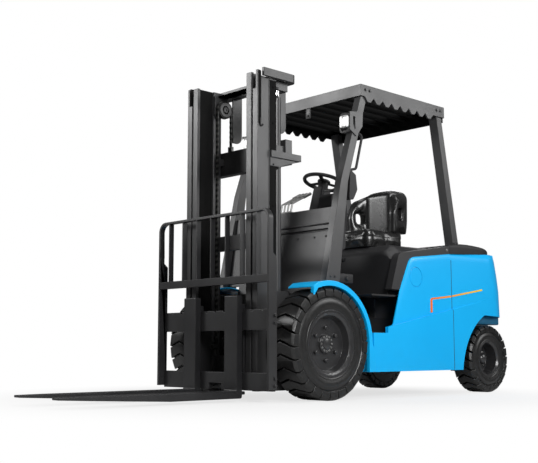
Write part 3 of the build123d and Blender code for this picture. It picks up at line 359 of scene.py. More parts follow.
wall_front = [(0.2132, -0.002), (0.2132, 0.003), (0.217, 0.0055), (0.224, 0.006), (0.227, 0.0042), (0.230, 0.0046),
              (0.240, 0.0072), (0.252, 0.0087), (0.264, 0.0085), (0.274, 0.0066), (0.283, 0.0035), (0.2915, -0.001)]
wall_rear = [(0.1352, -0.002), (0.1352, 0.003), (0.139, 0.0055), (0.145, 0.006), (0.148, 0.0042), (0.151, 0.0046),
             (0.159, 0.0072), (0.168, 0.0087), (0.177, 0.0082), (0.185, 0.006), (0.192, 0.003), (0.1975, -0.001)]
front_hub_z, front_hub_y, front_wall_y = 355, 494, 596
rear_axle, rear_hub_z, rear_hub_y, rear_wall_y = -1765, 250, 511, 588
sides = (("left", "+Y", 1), ("right", "-Y", -1))
for side, way, hand in sides:
    turned(f"tyre_wall_front_{side}", wall_front, at(0, front_wall_y * hand, front_hub_z), way, 96, rubber.material,
           f"tyre_front_{side}")
    turned(f"tyre_wall_rear_{side}", wall_rear, at(rear_axle, rear_wall_y * hand, rear_hub_z), way, 80,
           rubber.material, f"tyre_rear_{side}")
    hub = at(0, front_hub_y * hand, front_hub_z)
    out = Vector((0, hand, 0))
    turned(f"hub_cap_front_{side}", [(0.0, 0.072), (0.024, 0.072), (0.033, 0.069), (0.036, 0.064), (0.038, 0.0635),
                                     (0.058, 0.0635), (0.0605, 0.061), (0.0605, 0.052)],
           hub, way, 40, rim_paint, f"rim_front_{side}")
    bolts(f"hub_bolts_front_{side}",
          [hub + 0.0635 * out + 0.048 * Vector((cos(a), 0, sin(a))) for a in [pi / 6 * i for i in range(12)]],
          way, 0.0055, bolt_zinc.material, f"rim_front_{side}")
    hub = at(rear_axle, rear_hub_y * hand, rear_hub_z)
    turned(f"hub_cap_rear_{side}", [(0.0, 0.046), (0.018, 0.044), (0.032, 0.037), (0.04, 0.026), (0.043, 0.014),
                                    (0.047, 0.013), (0.047, 0.006)],
           hub, way, 36, rim_paint, f"rim_rear_{side}")
    bolts(f"wheel_nuts_rear_{side}",
          [hub - 0.026 * out + 0.08 * Vector((cos(a), 0, sin(a))) for a in [0.4 * pi * i for i in range(5)]],
          way, 0.010, bolt_zinc.material, f"rim_rear_{side}")

# Body panels, fenders and counterweight: bent sheet and a ground iron casting in bright blue gloss paint.
# The paint is clear-coated, and its colour drifts a little over the large faces.
blue = Finish("blue_paint", Coat_Roughness=0.08, Specular_IOR_Level=0.28)
blue_peel = blue.noise(150.0, 2.0)
blue_cloud = blue.noise(2.2)
blue_soil = blue.node("MapRange", inputs={"Value": blue.axis("Z"), "From Min": 0.5, "From Max": 0.15,
                                          "To Min": 0.0, "To Max": 0.22})
blue_soil = (blue_soil * blue.noise(14.0, 5.0) * 1.6).clamped()
blue.set(Base_Color=blue_soil.blend(blue_cloud.blend((0.0, 0.40, 0.84), (0.001, 0.45, 0.90)), (0.01, 0.3, 0.6)),
         Roughness=0.34 + 0.08 * blue_cloud + 0.2 * blue_soil, Coat_Weight=0.28 - 0.2 * blue_soil)
blue.bump(blue_peel, 0.0005, 0.1)
tail_core_x, tail_core_y, tail_reach, tail_skirt = -1860, 349, 200, 580
tail_top_x, tail_top_z, tail_top_fall = -1312, 1017, 0.0536
tail_levels = (620, 700, 764, 820, 870, 910, 945, 970, 988, 1002, 1012, 1022, 1034, 1046)
tail_rear_inset = [(500, 0), (764, -4), (870, -10), (945, -4), (988, 6), (1022, 20), (1046, 34), (1056, 42)]
tail_side_inset = [(0, 26), (8, 16), (18, 10), (32, 6), (52, 4), (250, 0)]
belt_start_x, belt_start_z, belt_fall, belt_step = -575, 470, 0.186, 12
belt_fade = [(-1800, 0), (-1400, 1)]


def belt_z(x):
    """Height of the crease that runs along the panels and fades out on the tail."""
    return belt_start_z - belt_fall * (x - belt_start_x)


def tail_form(place):
    """Dome the casting towards its top, and sink the side above the crease to meet the panel."""
    x, y, z = 1000 * (place.x - axle_x), 1000 * place.y, 1000 * place.z
    out = Vector((x - max(x, tail_core_x), y - max(-tail_core_y, min(tail_core_y, y)), 0))
    if out.length < tail_reach or z < tail_skirt:
        return place
    out.normalize()
    drop = tail_top_z - tail_top_fall * (x - tail_top_x) - z
    side = graded(tail_side_inset, drop)
    if z > belt_z(x) + 1:
        side += belt_step * graded(belt_fade, x)
    inset = graded(tail_rear_inset, z) * out.x ** 2 + side * out.y ** 2
    return place - inset / 1000 * out


def belt_cut(rise):
    """A plane along the crease, raised by some millimetres."""
    return at(belt_start_x, 0, belt_start_z + rise), Vector((belt_fall, 0, 1))


eased(blue.material, 0.001, "counterweight", guarded=True, move=tail_form,
      cuts=[(at(0, 0, z), Vector((0, 0, 1))) for z in tail_levels] + [belt_cut(0), belt_cut(4)])
panel_edge = [(0, 10), (6, 6), (14, 3.2), (26, 1.5), (42, 0.6), (90, 0)]
panel_corner, panel_face_y, panel_foot = at(-848, 0, 961), 0.572, 6
panel_top_way, panel_front_way = Vector((0.1132, 0, 0.9936)), Vector((0.896, 0, 0.444))


def panel_form(place):
    """Roll the panel's outer face in towards its top and front edges."""
    if abs(place.y) < panel_face_y or 1000 * place.z < belt_z(1000 * (place.x - axle_x)) + panel_foot:
        return place
    from_top = -1000 * (place - panel_corner).dot(panel_top_way)
    from_front = -1000 * (place - panel_corner).dot(panel_front_way)
    inset = graded(panel_edge, max(0, min(from_top, from_front))) / 1000
    return Vector((place.x, place.y - inset if place.y > 0 else place.y + inset, place.z))


panel_cuts = [(panel_corner - distance / 1000 * way, way)
              for way in (panel_top_way, panel_front_way) for distance, inset in panel_edge[1:]]
eased(blue.material, 0.003, "side_panel_left", "side_panel_right", guarded=True, cuts=panel_cuts, move=panel_form)
fender_tip_x, fender_draw = 120, 0.2


def fender_form(place):
    """Draw the tip back, so that the top of the tyre shows in front of it."""
    past = place.x - at(fender_tip_x, 0, 0).x
    return place if past < 0 else place - Vector(((1 - fender_draw) * past, 0, 0))


eased(blue.material, 0.004, "fender_left", "fender_right", guarded=True, move=fender_form,
      cuts=[(at(fender_tip_x, 0, 0), Vector((1, 0, 0)))])
eased(blue.material, 0.0025, "charge_flap")


def box(name, low, high, ease, finish, carrier, segments=2):
    """A block between two corners with every edge rounded."""
    low, high = Vector(low), Vector(high)
    bpy.ops.object.select_all(action="DESELECT")
    bpy.ops.mesh.primitive_cube_add(size=1, location=(low + high) / 2)
    bpy.context.object.scale = [abs(span) for span in high - low]
    bpy.ops.object.transform_apply(location=True, rotation=True, scale=True)
    bpy.ops.object.mode_set(mode="EDIT")
    bpy.ops.mesh.select_all(action="SELECT")
    bpy.ops.mesh.bevel(offset=ease, segments=segments, affect="EDGES")
    bpy.ops.object.mode_set(mode="OBJECT")
    return settle(name, finish, carrier)


# Wheel arch liners: plates that close the roof of each rear arch above the tyre.
# They are sprayed with the body, and their colour is a darker blue, a painted shade for the body's shadow over them.
liner_painted_shade = satin_paint("liner_painted_shade", (0.0, 0.09, 0.18), 0.5, 0.1)
for side, way, hand in sides:
    box(f"arch_liner_{side}", at(-1985, 250 * hand, 506), at(-1700, 545 * hand, 574), 0.012, liner_painted_shade,
        "counterweight", 4)

# Side stripe: a thin film in orange that fades to yellow, from the panel to the tail, with a short foot.
# It is stuck on the paint, so it lies a hair proud of it on each side of the split.
film = Finish("stripe_film", Coat_Weight=0.3, Specular_IOR_Level=0.5)
film_share = film.node("MapRange", inputs={"Value": film.axis("X"), "From Min": at(-1080, 0, 0).x,
                                           "From Max": at(-1700, 0, 0).x})
film.set(Base_Color=film_share.blend((0.85, 0.16, 0.01), (0.95, 0.62, 0.02)), Roughness=0.35 + 0.1 * film.noise(40.0))


def stripe(name, ends, faces, height, carrier):
    """A thin strip between two (x, z) ends in millimetres, on a face that may lean from one end to the other."""
    (x0, z0), (x1, z1) = ends
    y = sum(faces) / 2
    bpy.ops.object.select_all(action="DESELECT")
    bpy.ops.mesh.primitive_plane_add(size=1, location=at((x0 + x1) / 2, y, (z0 + z1) / 2), rotation=(pi / 2, 0, 0))
    bpy.context.object.scale = (abs(x1 - x0) / 1000, height / 1000, 1)
    bpy.ops.object.transform_apply(location=True, rotation=True, scale=True)
    strip = bpy.context.object
    for point in strip.data.vertices:
        share = (point.co.x - axle_x - (x0 + x1) / 2000) / ((x1 - x0) / 1000)
        point.co.z += share * (z1 - z0) / 1000
        point.co.y += share * (faces[1] - faces[0]) / 1000
    thick = strip.modifiers.new("film", "SOLIDIFY")
    thick.thickness = 0.0008
    thick.offset = 0
    bpy.ops.object.modifier_apply(modifier="film")
    return settle(name, film.material, carrier)


for side, way, hand in sides:
    stripe(f"stripe_panel_{side}", ((-1075, 677), (-1318, 704)), (577.3 * hand, 577.3 * hand), 13,
           f"side_panel_{side}")
    stripe(f"stripe_foot_{side}", ((-1066, 628), (-1090, 630)), (577.6 * hand, 577.6 * hand), 96,
           f"side_panel_{side}")
    stripe(f"stripe_tail_{side}", ((-1328, 706), (-1700, 766)), (579 * hand, 588 * hand), 12, "counterweight")

# Covers and trim: black moulded polymer with a fine grain, clipped between the blue panels.
# Each trim is fixed by one bolt near the split.
moulded = Finish("moulded_black", Specular_IOR_Level=0.4)
moulded_grain = moulded.noise(520.0, 3.0)
moulded_cloud = moulded.noise(7.0)
moulded.set(Base_Color=moulded_cloud.blend((0.008, 0.008, 0.009), (0.017, 0.017, 0.018)),
            Roughness=0.42 + 0.18 * moulded_grain)
moulded.bump(moulded_grain, 0.0006, 0.35)
cover_foot_z, cover_blend = 1058, 20
cover_rise = [(-2010, -12), (-1950, -7), (-1880, 2), (-1800, 11), (-1720, 18), (-1640, 22), (-1560, 24), (-1480, 22),
              (-1400, 14), (-1322, 2)]


def cover_form(place):
    """Crown the cover at its front, and let it fall away towards the tail."""
    share = max(0, min(1, (1000 * place.z - cover_foot_z) / cover_blend))
    return place + Vector((0, 0, share * graded(cover_rise, 1000 * (place.x - axle_x)) / 1000))


eased(moulded.material, 0.004, "rear_cover", guarded=True, move=cover_form,
      cuts=[(at(x, 0, 0), Vector((1, 0, 0))) for x, rise in cover_rise[1:]])
trim_grey = satin_paint("trim_grey", (0.02, 0.02, 0.021), 0.45, 0.1)
eased(trim_grey, 0.004, "body_trim", guarded=True)
for side, way, hand in sides:
    bolts(f"trim_bolt_{side}", [at(-1292, 565 * hand, 1043)], way, 0.008, bolt_zinc.material,
          "body_trim")

# Split shade: black strips in the split between each side panel and the casting behind it, a painted shade for the dark
# inside of the gap.
# There is one length above the crease and one below it.
split_shade_ease, split_shade_top_gap = 0.0003, 45
for side, way, hand in sides:
    foot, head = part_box(f"side_panel_{side}")
    split_x = 1000 * (foot.x - axle_x)
    crease = belt_z(split_x)
    box(f"split_shade_upper_{side}", at(split_x - 4, 566 * hand, crease + 5),
        at(split_x + 1, 577.8 * hand, 1000 * head.z - split_shade_top_gap), split_shade_ease, moulded.material,
        f"side_panel_{side}", 1)
    box(f"split_shade_lower_{side}", at(split_x - 4, 578 * hand, 1000 * foot.z + 2),
        at(split_x + 1, 589.6 * hand, crease - 1), split_shade_ease, moulded.material,
        f"side_panel_{side}", 1)

# Hood: a moulded shell over the battery, hinged at the rear, which carries the seat on its deck.
# A latch plate at its front holds it shut.
hood_deck_z, hood_bend_z, hood_bend_rise = 1060, 940, 60
trim_line_x, trim_line_z, trim_line_fall = -1050, 1030, 0.114
hood_shoulder = [(400, 0), (430, 0.12), (465, 0.45), (500, 1)]


def hood_form(place):
    """Slope the shoulders down to the line of the trim, and leave the deck level under the seat."""
    x, z = 1000 * (place.x - axle_x), 1000 * place.z
    fall = max(0, hood_deck_z - (trim_line_z - trim_line_fall * (x - trim_line_x)))
    share = graded(hood_shoulder, 1000 * abs(place.y)) * max(0, min(1, (z - hood_bend_z) / hood_bend_rise))
    return place - Vector((0, 0, fall * share / 1000))


eased(moulded.material, 0.004, "hood", move=hood_form,
      cuts=[(at(0, hand * y, 0), Vector((0, 1, 0))) for y, share in hood_shoulder[:3] for hand in (1, -1)]
      + [(at(x, 0, 0), Vector((1, 0, 0))) for x in (-950, -1070, -1190)])
box("hood_latch", at(-735, -60, 960), at(-722, 60, 985), 0.003, moulded.material, "hood")

# Floor, pedals and step mats: ribbed rubber laid on steel plate.
# The ribs are cut by extruding every other strip of the mat.
rubber_mat = Finish("mat_rubber", Specular_IOR_Level=0.35)
mat_grain = rubber_mat.noise(300.0, 4.0)
rubber_mat.set(Base_Color=mat_grain.blend((0.009, 0.009, 0.009), (0.022, 0.022, 0.021)),
               Roughness=0.5 + 0.2 * mat_grain)
rubber_mat.bump(mat_grain, 0.001, 0.3)
eased(chassis_paint, 0.002, "floor_plate")


def ribbed(name, low, high, count, rise, finish, carrier):
    """A flat mat divided into strips along X, with every other strip raised."""
    low, high = Vector(low), Vector(high)
    bpy.ops.object.select_all(action="DESELECT")
    bpy.ops.mesh.primitive_grid_add(x_subdivisions=2 * count + 1, y_subdivisions=1, size=1,
                                    location=((low.x + high.x) / 2, (low.y + high.y) / 2, high.z))
    bpy.context.object.scale = (high.x - low.x, high.y - low.y, 1)
    bpy.ops.object.transform_apply(location=True, rotation=True, scale=True)
    mat = bpy.context.object
    strips = sorted((face.center.x, face.index) for face in mat.data.polygons)
    bpy.ops.object.mode_set(mode="EDIT")
    bpy.ops.mesh.select_all(action="DESELECT")
    bpy.ops.object.mode_set(mode="OBJECT")
    for place, index in strips[1::2]:
        mat.data.polygons[index].select = True
    bpy.ops.object.mode_set(mode="EDIT")
    bpy.ops.mesh.select_mode(type="FACE")
    bpy.ops.mesh.inset(thickness=0.002, depth=rise, use_individual=True)
    bpy.ops.mesh.select_mode(type="VERT")
    bpy.ops.object.mode_set(mode="OBJECT")
    thick = mat.modifiers.new("mat", "SOLIDIFY")
    thick.thickness = high.z - low.z
    thick.offset = -1
    bpy.ops.object.modifier_apply(modifier="mat")
    return settle(name, finish, carrier)


ribbed("floor_mat", at(-670, -380, 690), at(-330, 380, 694), 13, 0.003, rubber_mat.material,
       "floor_plate")
for side, way, hand in sides:
    near, far = sorted((380 * hand, 560 * hand))
    ribbed(f"step_mat_{side}", at(-570, near, 430), at(-432, far, 433), 6, 0.003, rubber_mat.material,
           f"side_panel_{side}")
eased(rubber_mat.material, 0.002, "pedals")

# Front cowl: bent steel sheet with a folded crease below its top and a slot for air.
# A row of small bolts holds it under the slot.
cowl_paint = satin_paint("cowl_paint", (0.013, 0.013, 0.014), 0.4, 0.1)
eased(cowl_paint, 0.003, "front_cowl")


cowl_foot_x, cowl_foot_z, cowl_lean = -75, 755, 0.171
crease_z, cowl_bolt_z = 1150, 1062


def cowl_x(z):
    """Where the leaning front face stands at a height."""
    return cowl_foot_x - cowl_lean * (z - cowl_foot_z)


box("cowl_crease", at(cowl_x(crease_z) - 3, -455, crease_z - 7), at(cowl_x(crease_z) + 9, 455, crease_z + 5), 0.004,
    cowl_paint, "front_cowl")
bolts("cowl_bolts", [at(cowl_x(cowl_bolt_z) + 0.5, y, cowl_bolt_z) for y in (-440, -335, -180, 180, 335, 440)], "+X",
      0.006, chassis_paint, "front_cowl")

# Dash, steering column and wheel: moulded polymer covers and a foam-covered wheel on a keyed shaft.
# The screen is a dark glass plate in a bezel, and the direction lever is a bent rod with a moulded grip.
eased(moulded.material, 0.004, "dashboard", "steering_column")
eased(moulded.material, 0.0015, "steering_wheel")
screen_glass = Finish("screen_glass", Specular_IOR_Level=0.5, Coat_Weight=0.6)
screen_glass.set(Base_Color=screen_glass.noise(5.0).blend((0.004, 0.006, 0.008), (0.01, 0.014, 0.018)), Roughness=0.08)
box("screen_bezel", at(-402, 215, 1300), at(-394, 315, 1372), 0.003, moulded.material, "dashboard")
box("screen_glass", at(-403.5, 223, 1308), at(-401, 307, 1364), 0.001, screen_glass.material,
    "dashboard")


def bent_rod(name, points, radius, finish, carrier):
    """A bar bent through points, drawn as a smooth curve with a round section."""
    bpy.ops.object.select_all(action="DESELECT")
    bpy.ops.curve.primitive_nurbs_path_add(location=(0, 0, 0))
    rod = bpy.context.object
    rod.data.splines.clear()
    line = rod.data.splines.new("NURBS")
    line.points.add(len(points) - 1)
    for point, place in zip(line.points, points):
        point.co = (*place, 1)
    line.order_u = 3
    line.use_endpoint_u = True
    rod.data.bevel_depth = radius
    rod.data.bevel_resolution = 3
    rod.data.resolution_u = 8
    rod.data.use_fill_caps = True
    bpy.ops.object.convert(target="MESH")
    return settle(name, finish, carrier)


bent_rod("direction_lever", [at(-420, 150, 1430), at(-425, 190, 1430), at(-430, 230, 1436), at(-434, 262, 1446)], 0.005,
         bolt_zinc.material, "steering_column")
turned("direction_grip", [(0.0, 0.032), (0.008, 0.031), (0.013, 0.024), (0.014, 0.012), (0.011, 0.0), (0.007, -0.006),
                          (0.0, -0.007)], at(-434, 262, 1446), "+Y", 20, moulded.material,
       "steering_column")

# Control levers: bright steel rods on a plate by the cowl.
# Two small bolts hold the plate down.
eased(bolt_zinc.material, 0.0015, "control_levers", guarded=True)
bolts("lever_plate_bolts", [at(-190, y, 1272) for y in (-76, 42)], "+Z", 0.005, bolt_zinc.material,
      "control_levers")

# Seat: moulded foam in soft black vinyl, swollen tight under its cover.
# Each cover is blown up from its solid as cloth, and the cushion is drawn in along a sewn seam.
vinyl = Finish("seat_vinyl", Specular_IOR_Level=0.5, Coat_Weight=0.25, Coat_Roughness=0.2)
vinyl_grain = vinyl.noise(260.0, 3.0)
vinyl_fold = vinyl.noise(14.0, 2.0)
vinyl.set(Base_Color=vinyl_fold.blend((0.006, 0.006, 0.006), (0.013, 0.013, 0.013)),
          Roughness=0.2 + 0.1 * vinyl_fold + 0.06 * vinyl_grain)
vinyl.bump(vinyl_grain + 0.5 * vinyl_fold, 0.0006, 0.18)
pad_voxel, pad_offset, pad_slack, pad_fill = 0.0085, 0.006, 0.004, 0.8
cloth_pressure, cloth_steps = 4, 16
seam_reach, seam_depth = 0.012, 0.005


def padded(name, node, swell, seam_levels):
    """Foam in a cover: the solid's form remeshed, blown up as cloth, and drawn in at its seams."""
    bpy.ops.object.select_all(action="DESELECT")
    pad = bpy.data.objects.new(name, frame["nodes"][node].data.copy())
    bpy.context.collection.objects.link(pad)
    pad.select_set(True)
    bpy.context.view_layer.objects.active = pad
    bpy.ops.object.mode_set(mode="EDIT")
    bpy.ops.mesh.select_all(action="SELECT")
    bpy.ops.mesh.remove_doubles(threshold=weld)
    bpy.ops.transform.shrink_fatten(value=pad_offset)
    bpy.ops.object.mode_set(mode="OBJECT")
    pad.data.remesh_voxel_size = pad_voxel
    bpy.ops.object.voxel_remesh()
    relax = pad.modifiers.new("relax", "SMOOTH")
    relax.factor = 0.5
    relax.iterations = 6
    bpy.ops.object.modifier_apply(modifier="relax")
    start = [point.co.copy() for point in pad.data.vertices]
    low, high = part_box(node)
    cover = pad.modifiers.new("cover", "CLOTH")
    cover.settings.use_pressure = True
    cover.settings.uniform_pressure_force = cloth_pressure
    cover.settings.effector_weights.gravity = 0
    cover.settings.quality = 4
    cover.point_cache.frame_start = 1
    cover.point_cache.frame_end = cloth_steps
    for step in range(1, cloth_steps + 1):
        bpy.context.scene.frame_set(step)
    blown = pad.evaluated_get(bpy.context.evaluated_depsgraph_get())
    swollen = [point.co.copy() for point in blown.data.vertices]
    pad.modifiers.remove(cover)
    bpy.context.scene.frame_set(1)
    for point, first, last in zip(pad.data.vertices, start, swollen):
        move = last - first
        if move.length > swell:
            move = move.normalized() * swell
        place = first + move
        place.z = max(place.z, low.z)
        point.co = [min(max(value, floor - pad_slack), roof + pad_slack)
                    for value, floor, roof in zip(place, low, high)]
    pad.data.update()
    even = pad.modifiers.new("even", "SMOOTH")
    even.factor = 0.5
    even.iterations = 10
    bpy.ops.object.modifier_apply(modifier="even")
    for seam in seam_levels:
        for point in pad.data.vertices:
            away = abs(point.co.z - seam)
            if away < seam_reach:
                point.co -= seam_depth * (1 - away / seam_reach) ** 2 * point.normal
    finer = pad.modifiers.new("finer", "SUBSURF")
    finer.levels = finer.render_levels = 1
    bpy.ops.object.modifier_apply(modifier="finer")
    bpy.ops.object.shade_smooth()
    pad.data.materials.clear()
    pad.data.materials.append(vinyl.material)
    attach(pad, carrier_of(node))
    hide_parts(node)


padded("seat_cushion_cover", "seat_cushion", 0.016, [1.135])
padded("seat_back_cover", "seat_back", 0.012, [])

# Overhead guard: bent sheet and bars welded into a roof, on four box pillars, in charcoal satin paint.
# The pillars' feet are bolted down, and the handle is a bent tube beside the front pillar.
guard_paint = satin_paint("guard_paint", (0.042, 0.042, 0.043), 0.38, 0.15)
eased(guard_paint, 0.002, "overhead_guard", "guard_pillars")


def shade_faces(node, finish, inside):
    """Give the faces that a test picks by place and direction a second finish, a painted shade."""
    piece = bpy.data.objects[f"{node}_eased"]
    piece.data.materials.append(finish)
    for face in piece.data.polygons:
        if inside(face.center, face.normal):
            face.material_index = 1


# A dull black for the hose covers and straps, which also paints shade on faces that lie in the truck's own shadow.
dull_black_and_shade = Finish("dull_black_and_shade", Specular_IOR_Level=0.12)
dull_cloud = dull_black_and_shade.noise(30.0, 5.0)
dull_black_and_shade.set(Base_Color=dull_cloud.blend((0.002, 0.002, 0.002), (0.007, 0.007, 0.007)),
               Roughness=0.65 + 0.2 * dull_cloud)
roof_rear, roof_front, roof_half = at(-1316, 0, 0).x, at(-386, 0, 0).x, 0.5335
# The faces under the roof and inside its skirt take the dull black, a painted shade over the same charcoal paint.
shade_faces("overhead_guard", dull_black_and_shade.material,
      lambda place, way: way.z < 0.5 and abs(place.y) < roof_half and roof_rear < place.x < roof_front)
eased(moulded.material, 0.0015, "grab_handle")
for side, way, hand in sides:
    bolts(f"guard_bolts_{side}", [at(x, 545 * hand, 2090) for x in (-425, -470, -1235, -1280)], way, 0.010, guard_paint,
          "overhead_guard")
    bolts(f"pillar_bolts_{side}",
          [at(x, 533 * hand, z) for x, z in ((-70, 790), (-110, 790), (-1432, 1108), (-1466, 1108))],
          way, 0.008, guard_paint, "guard_pillars")

# Pillar box and roof tag: a moulded switch box behind the front pillar's foot, with a turned knob on its side,
# and a small steel tag that hangs from the roof's front edge.
box("pillar_box", at(-166, 484, 752), at(-298, 528, 814), 0.008, moulded.material, "guard_pillars", 3)
turned("pillar_knob", [(0.0, 0.014), (0.012, 0.014), (0.016, 0.011), (0.017, 0.004), (0.020, 0.003), (0.020, -0.001)],
       at(-232, 528, 783), "+Y", 28, moulded.material, "guard_pillars")
box("roof_tag", at(-386, 14, 1968), at(-379, 62, 2048), 0.0025, guard_paint, "overhead_guard")
bolts("roof_tag_bolt", [at(-379, 38, 1990)], "+X", 0.007, chassis_paint, "overhead_guard")

# Lamps: a moulded housing behind a slotted steel plate on the pillar, with a ribbed lens over a white reflector.
# The rear ones have a red lens.
eased(guard_paint, 0.003, "lamps", guarded=True)
lens_white = Finish("lamp_lens", Coat_Weight=0.5, Specular_IOR_Level=0.5, Emission_Color=(1, 1, 1),
                    Emission_Strength=0.5)
lens_ribs = lens_white.node("TexWave", {"bands_direction": "Z"}, 1, {"Vector": lens_white.place, "Scale": 40.0})
lens_white.set(Base_Color=lens_ribs.blend((0.80, 0.80, 0.79), (0.92, 0.92, 0.91)), Roughness=0.12)
lens_white.bump(lens_ribs, 0.001, 0.3)
lens_red = Finish("tail_lens", Coat_Weight=0.5, Specular_IOR_Level=0.5)
lens_red.set(Base_Color=lens_red.noise(90.0).blend((0.35, 0.01, 0.008), (0.5, 0.02, 0.012)), Roughness=0.15)


def lens(name, low, high, corner, dish, finish, carrier):
    """A plate across X with round corners, whose two large faces are crowned by an inset."""
    low, high = Vector(low), Vector(high)
    bpy.ops.object.select_all(action="DESELECT")
    bpy.ops.mesh.primitive_cube_add(size=1, location=(low + high) / 2)
    bpy.context.object.scale = [abs(span) for span in high - low]
    bpy.ops.object.transform_apply(location=True, rotation=True, scale=True)
    plate = bpy.context.object
    bpy.ops.object.mode_set(mode="EDIT")
    bpy.ops.mesh.select_all(action="DESELECT")
    bpy.ops.object.mode_set(mode="OBJECT")
    for edge in plate.data.edges:
        first, last = (plate.data.vertices[i].co for i in edge.vertices)
        edge.select = abs(first.x - last.x) > 0.9 * abs(high.x - low.x)
    bpy.ops.object.mode_set(mode="EDIT")
    bpy.ops.mesh.select_mode(type="EDGE")
    bpy.ops.mesh.bevel(offset=corner, segments=6, affect="EDGES")
    bpy.ops.mesh.select_mode(type="FACE")
    bpy.ops.mesh.select_all(action="DESELECT")
    bpy.ops.object.mode_set(mode="OBJECT")
    for face in plate.data.polygons:
        face.select = abs(face.normal.x) > 0.9
    bpy.ops.object.mode_set(mode="EDIT")
    bpy.ops.mesh.inset(thickness=0.3 * corner, depth=dish, use_individual=True)
    bpy.ops.mesh.inset(thickness=0.4 * corner, depth=0.5 * dish, use_individual=True)
    bpy.ops.mesh.select_mode(type="VERT")
    bpy.ops.object.mode_set(mode="OBJECT")
    return settle(name, finish, carrier)


for side, way, hand in sides:
    lens(f"lamp_bezel_{side}", at(-292, 449 * hand, 1774), at(-259, 531 * hand, 1906), 0.026, 0.001,
         moulded.material, "lamps")
    lens(f"lamp_lens_{side}", at(-268, 459 * hand, 1808), at(-257, 529 * hand, 1888), 0.016, 0.002,
         lens_white.material, "lamps")
    lens(f"tail_lens_{side}", at(-1362, 420 * hand, 2056), at(-1355, 490 * hand, 2104), 0.012, 0.002, lens_red.material,
         "lamps")

# Outer mast: rolled channels welded to cross beams, in charcoal satin paint.
# A black cover over the hoses and a lifting strap are screwed to each outer face.
mast_paint = satin_paint("mast_paint", (0.036, 0.036, 0.037), 0.36, 0.12)
eased(mast_paint, 0.002, "outer_mast", "lift_barrels")


def looks_in(beyond):
    """A test for the faces of the uprights that look at each other, past a distance from the middle."""
    return lambda place, way: way.y * place.y < 0 and abs(way.y) > 0.5 and abs(place.y) > beyond


# The faces of the outer uprights that look at each other take the dull black, a painted shade over the charcoal paint.
shade_faces("outer_mast", dull_black_and_shade.material, looks_in(0.312))
rod_steel = Finish("bearing_steel", Metallic=0.9)
rod_haze = rod_steel.noise(80.0, 5.0)
rod_steel.set(Base_Color=rod_haze.blend((0.10, 0.10, 0.10), (0.22, 0.22, 0.21)), Roughness=0.3 + 0.2 * rod_haze)
for side, way, hand in sides:
    box(f"hose_cover_{side}", at(251, 357 * hand, 904), at(309, 361 * hand, 2054), 0.0015, dull_black_and_shade.material,
        "outer_mast")
    bolts(f"hose_cover_bolts_{side}", [at(280, 361 * hand, z) for z in (960, 1230, 1500, 1770, 2010)], way, 0.006,
          dull_black_and_shade.material, "outer_mast")
    for i, z in enumerate((2010, 1955)):
        box(f"hose_tab_{side}_{i}", at(228, 350 * hand, z - 9), at(254, 360 * hand, z + 9), 0.003, moulded.material,
            "outer_mast")
    box(f"lifting_strap_{side}", at(381, 353 * hand, 1752), at(403, 357 * hand, 2100), 0.0015, dull_black_and_shade.material,
        "outer_mast")
    bent_rod(f"lifting_hook_{side}", [at(392, 359 * hand, 1790), at(393, 359 * hand, 1752), at(386, 359 * hand, 1738),
                                      at(374, 359 * hand, 1738), at(367, 359 * hand, 1750)], 0.0045, moulded.material,
             "outer_mast")
    turned(f"mast_roller_{side}", [(0.02, 0.0), (0.053, 0.0), (0.0557, 0.003), (0.0557, 0.027), (0.053, 0.03),
                                   (0.02, 0.03)],
           at(328.5, 304 * hand, 2003), way, 40, rod_steel.material, "outer_mast")
    for i, y in enumerate((196, 223)):
        box(f"chain_anchor_{side}_{i}", at(126, y * hand, 1684), at(152, (y + 5) * hand, 1722), 0.0015,
            rod_steel.material, "outer_mast")

# Inner mast, pulleys and chains: beams of I section joined by a bent head, with a turned pulley on each side.
# The leaf chain is oiled steel plates on pins, with dark bands of painted shade between its rows of plates.
eased(mast_paint, 0.002, "inner_mast")
# The faces of the inner uprights that look at each other take the dull black, a painted shade over the charcoal paint.
shade_faces("inner_mast", dull_black_and_shade.material, looks_in(0.25))
chain_steel = Finish("chain_steel", Metallic=0.85)
chain_rows = chain_steel.node("TexWave", {"bands_direction": "Z"}, 1, {"Vector": chain_steel.place, "Scale": 8.3})
chain_leaf = chain_steel.node("TexWave", {"bands_direction": "Y"}, 1, {"Vector": chain_steel.place, "Scale": 90.0})
chain_oil = chain_steel.noise(60.0, 4.0)
# The dark bands between the rows and leaves are painted shade in the gaps between the plates.
chain_steel.set(Base_Color=(chain_rows * chain_leaf).blend((0.02, 0.02, 0.02), (0.22, 0.22, 0.21)),
                Roughness=0.28 + 0.25 * chain_oil)
chain_steel.bump(chain_rows + 0.6 * chain_leaf, 0.003, 0.5)
dress(chain_steel.material, "chain_pulleys", "chain_front_runs", "chain_rear_runs")
for side, way, hand in (("left", "-Y", 1), ("right", "+Y", -1)):
    turned(f"pulley_face_{side}", [(0.009, 0.0), (0.009, 0.0045), (0.019, 0.0055), (0.021, 0.0), (0.028, 0.0),
                                   (0.03, 0.0045), (0.05, 0.0045), (0.052, 0.0)],
           at(200, 199 * hand, 1973), way, 44, mast_paint, "chain_pulleys")

# Cylinder rods and tilt barrels: ground bars with a hard chrome skin, faintly scored along their travel.
# The barrels are drawn tube in the chassis paint.
chrome = Finish("rod_chrome", Metallic=1.0)
chrome_score = chrome.noise(30.0, 4.0, (12, 12, 0.3))
chrome.set(Base_Color=chrome_score.blend((0.5, 0.5, 0.51), (0.74, 0.74, 0.75)), Roughness=0.1 + 0.12 * chrome_score)
dress(chrome.material, "lift_rods", "tilt_rod_left", "tilt_rod_right")
eased(chassis_paint, 0.0015, "tilt_barrel_left", "tilt_barrel_right")

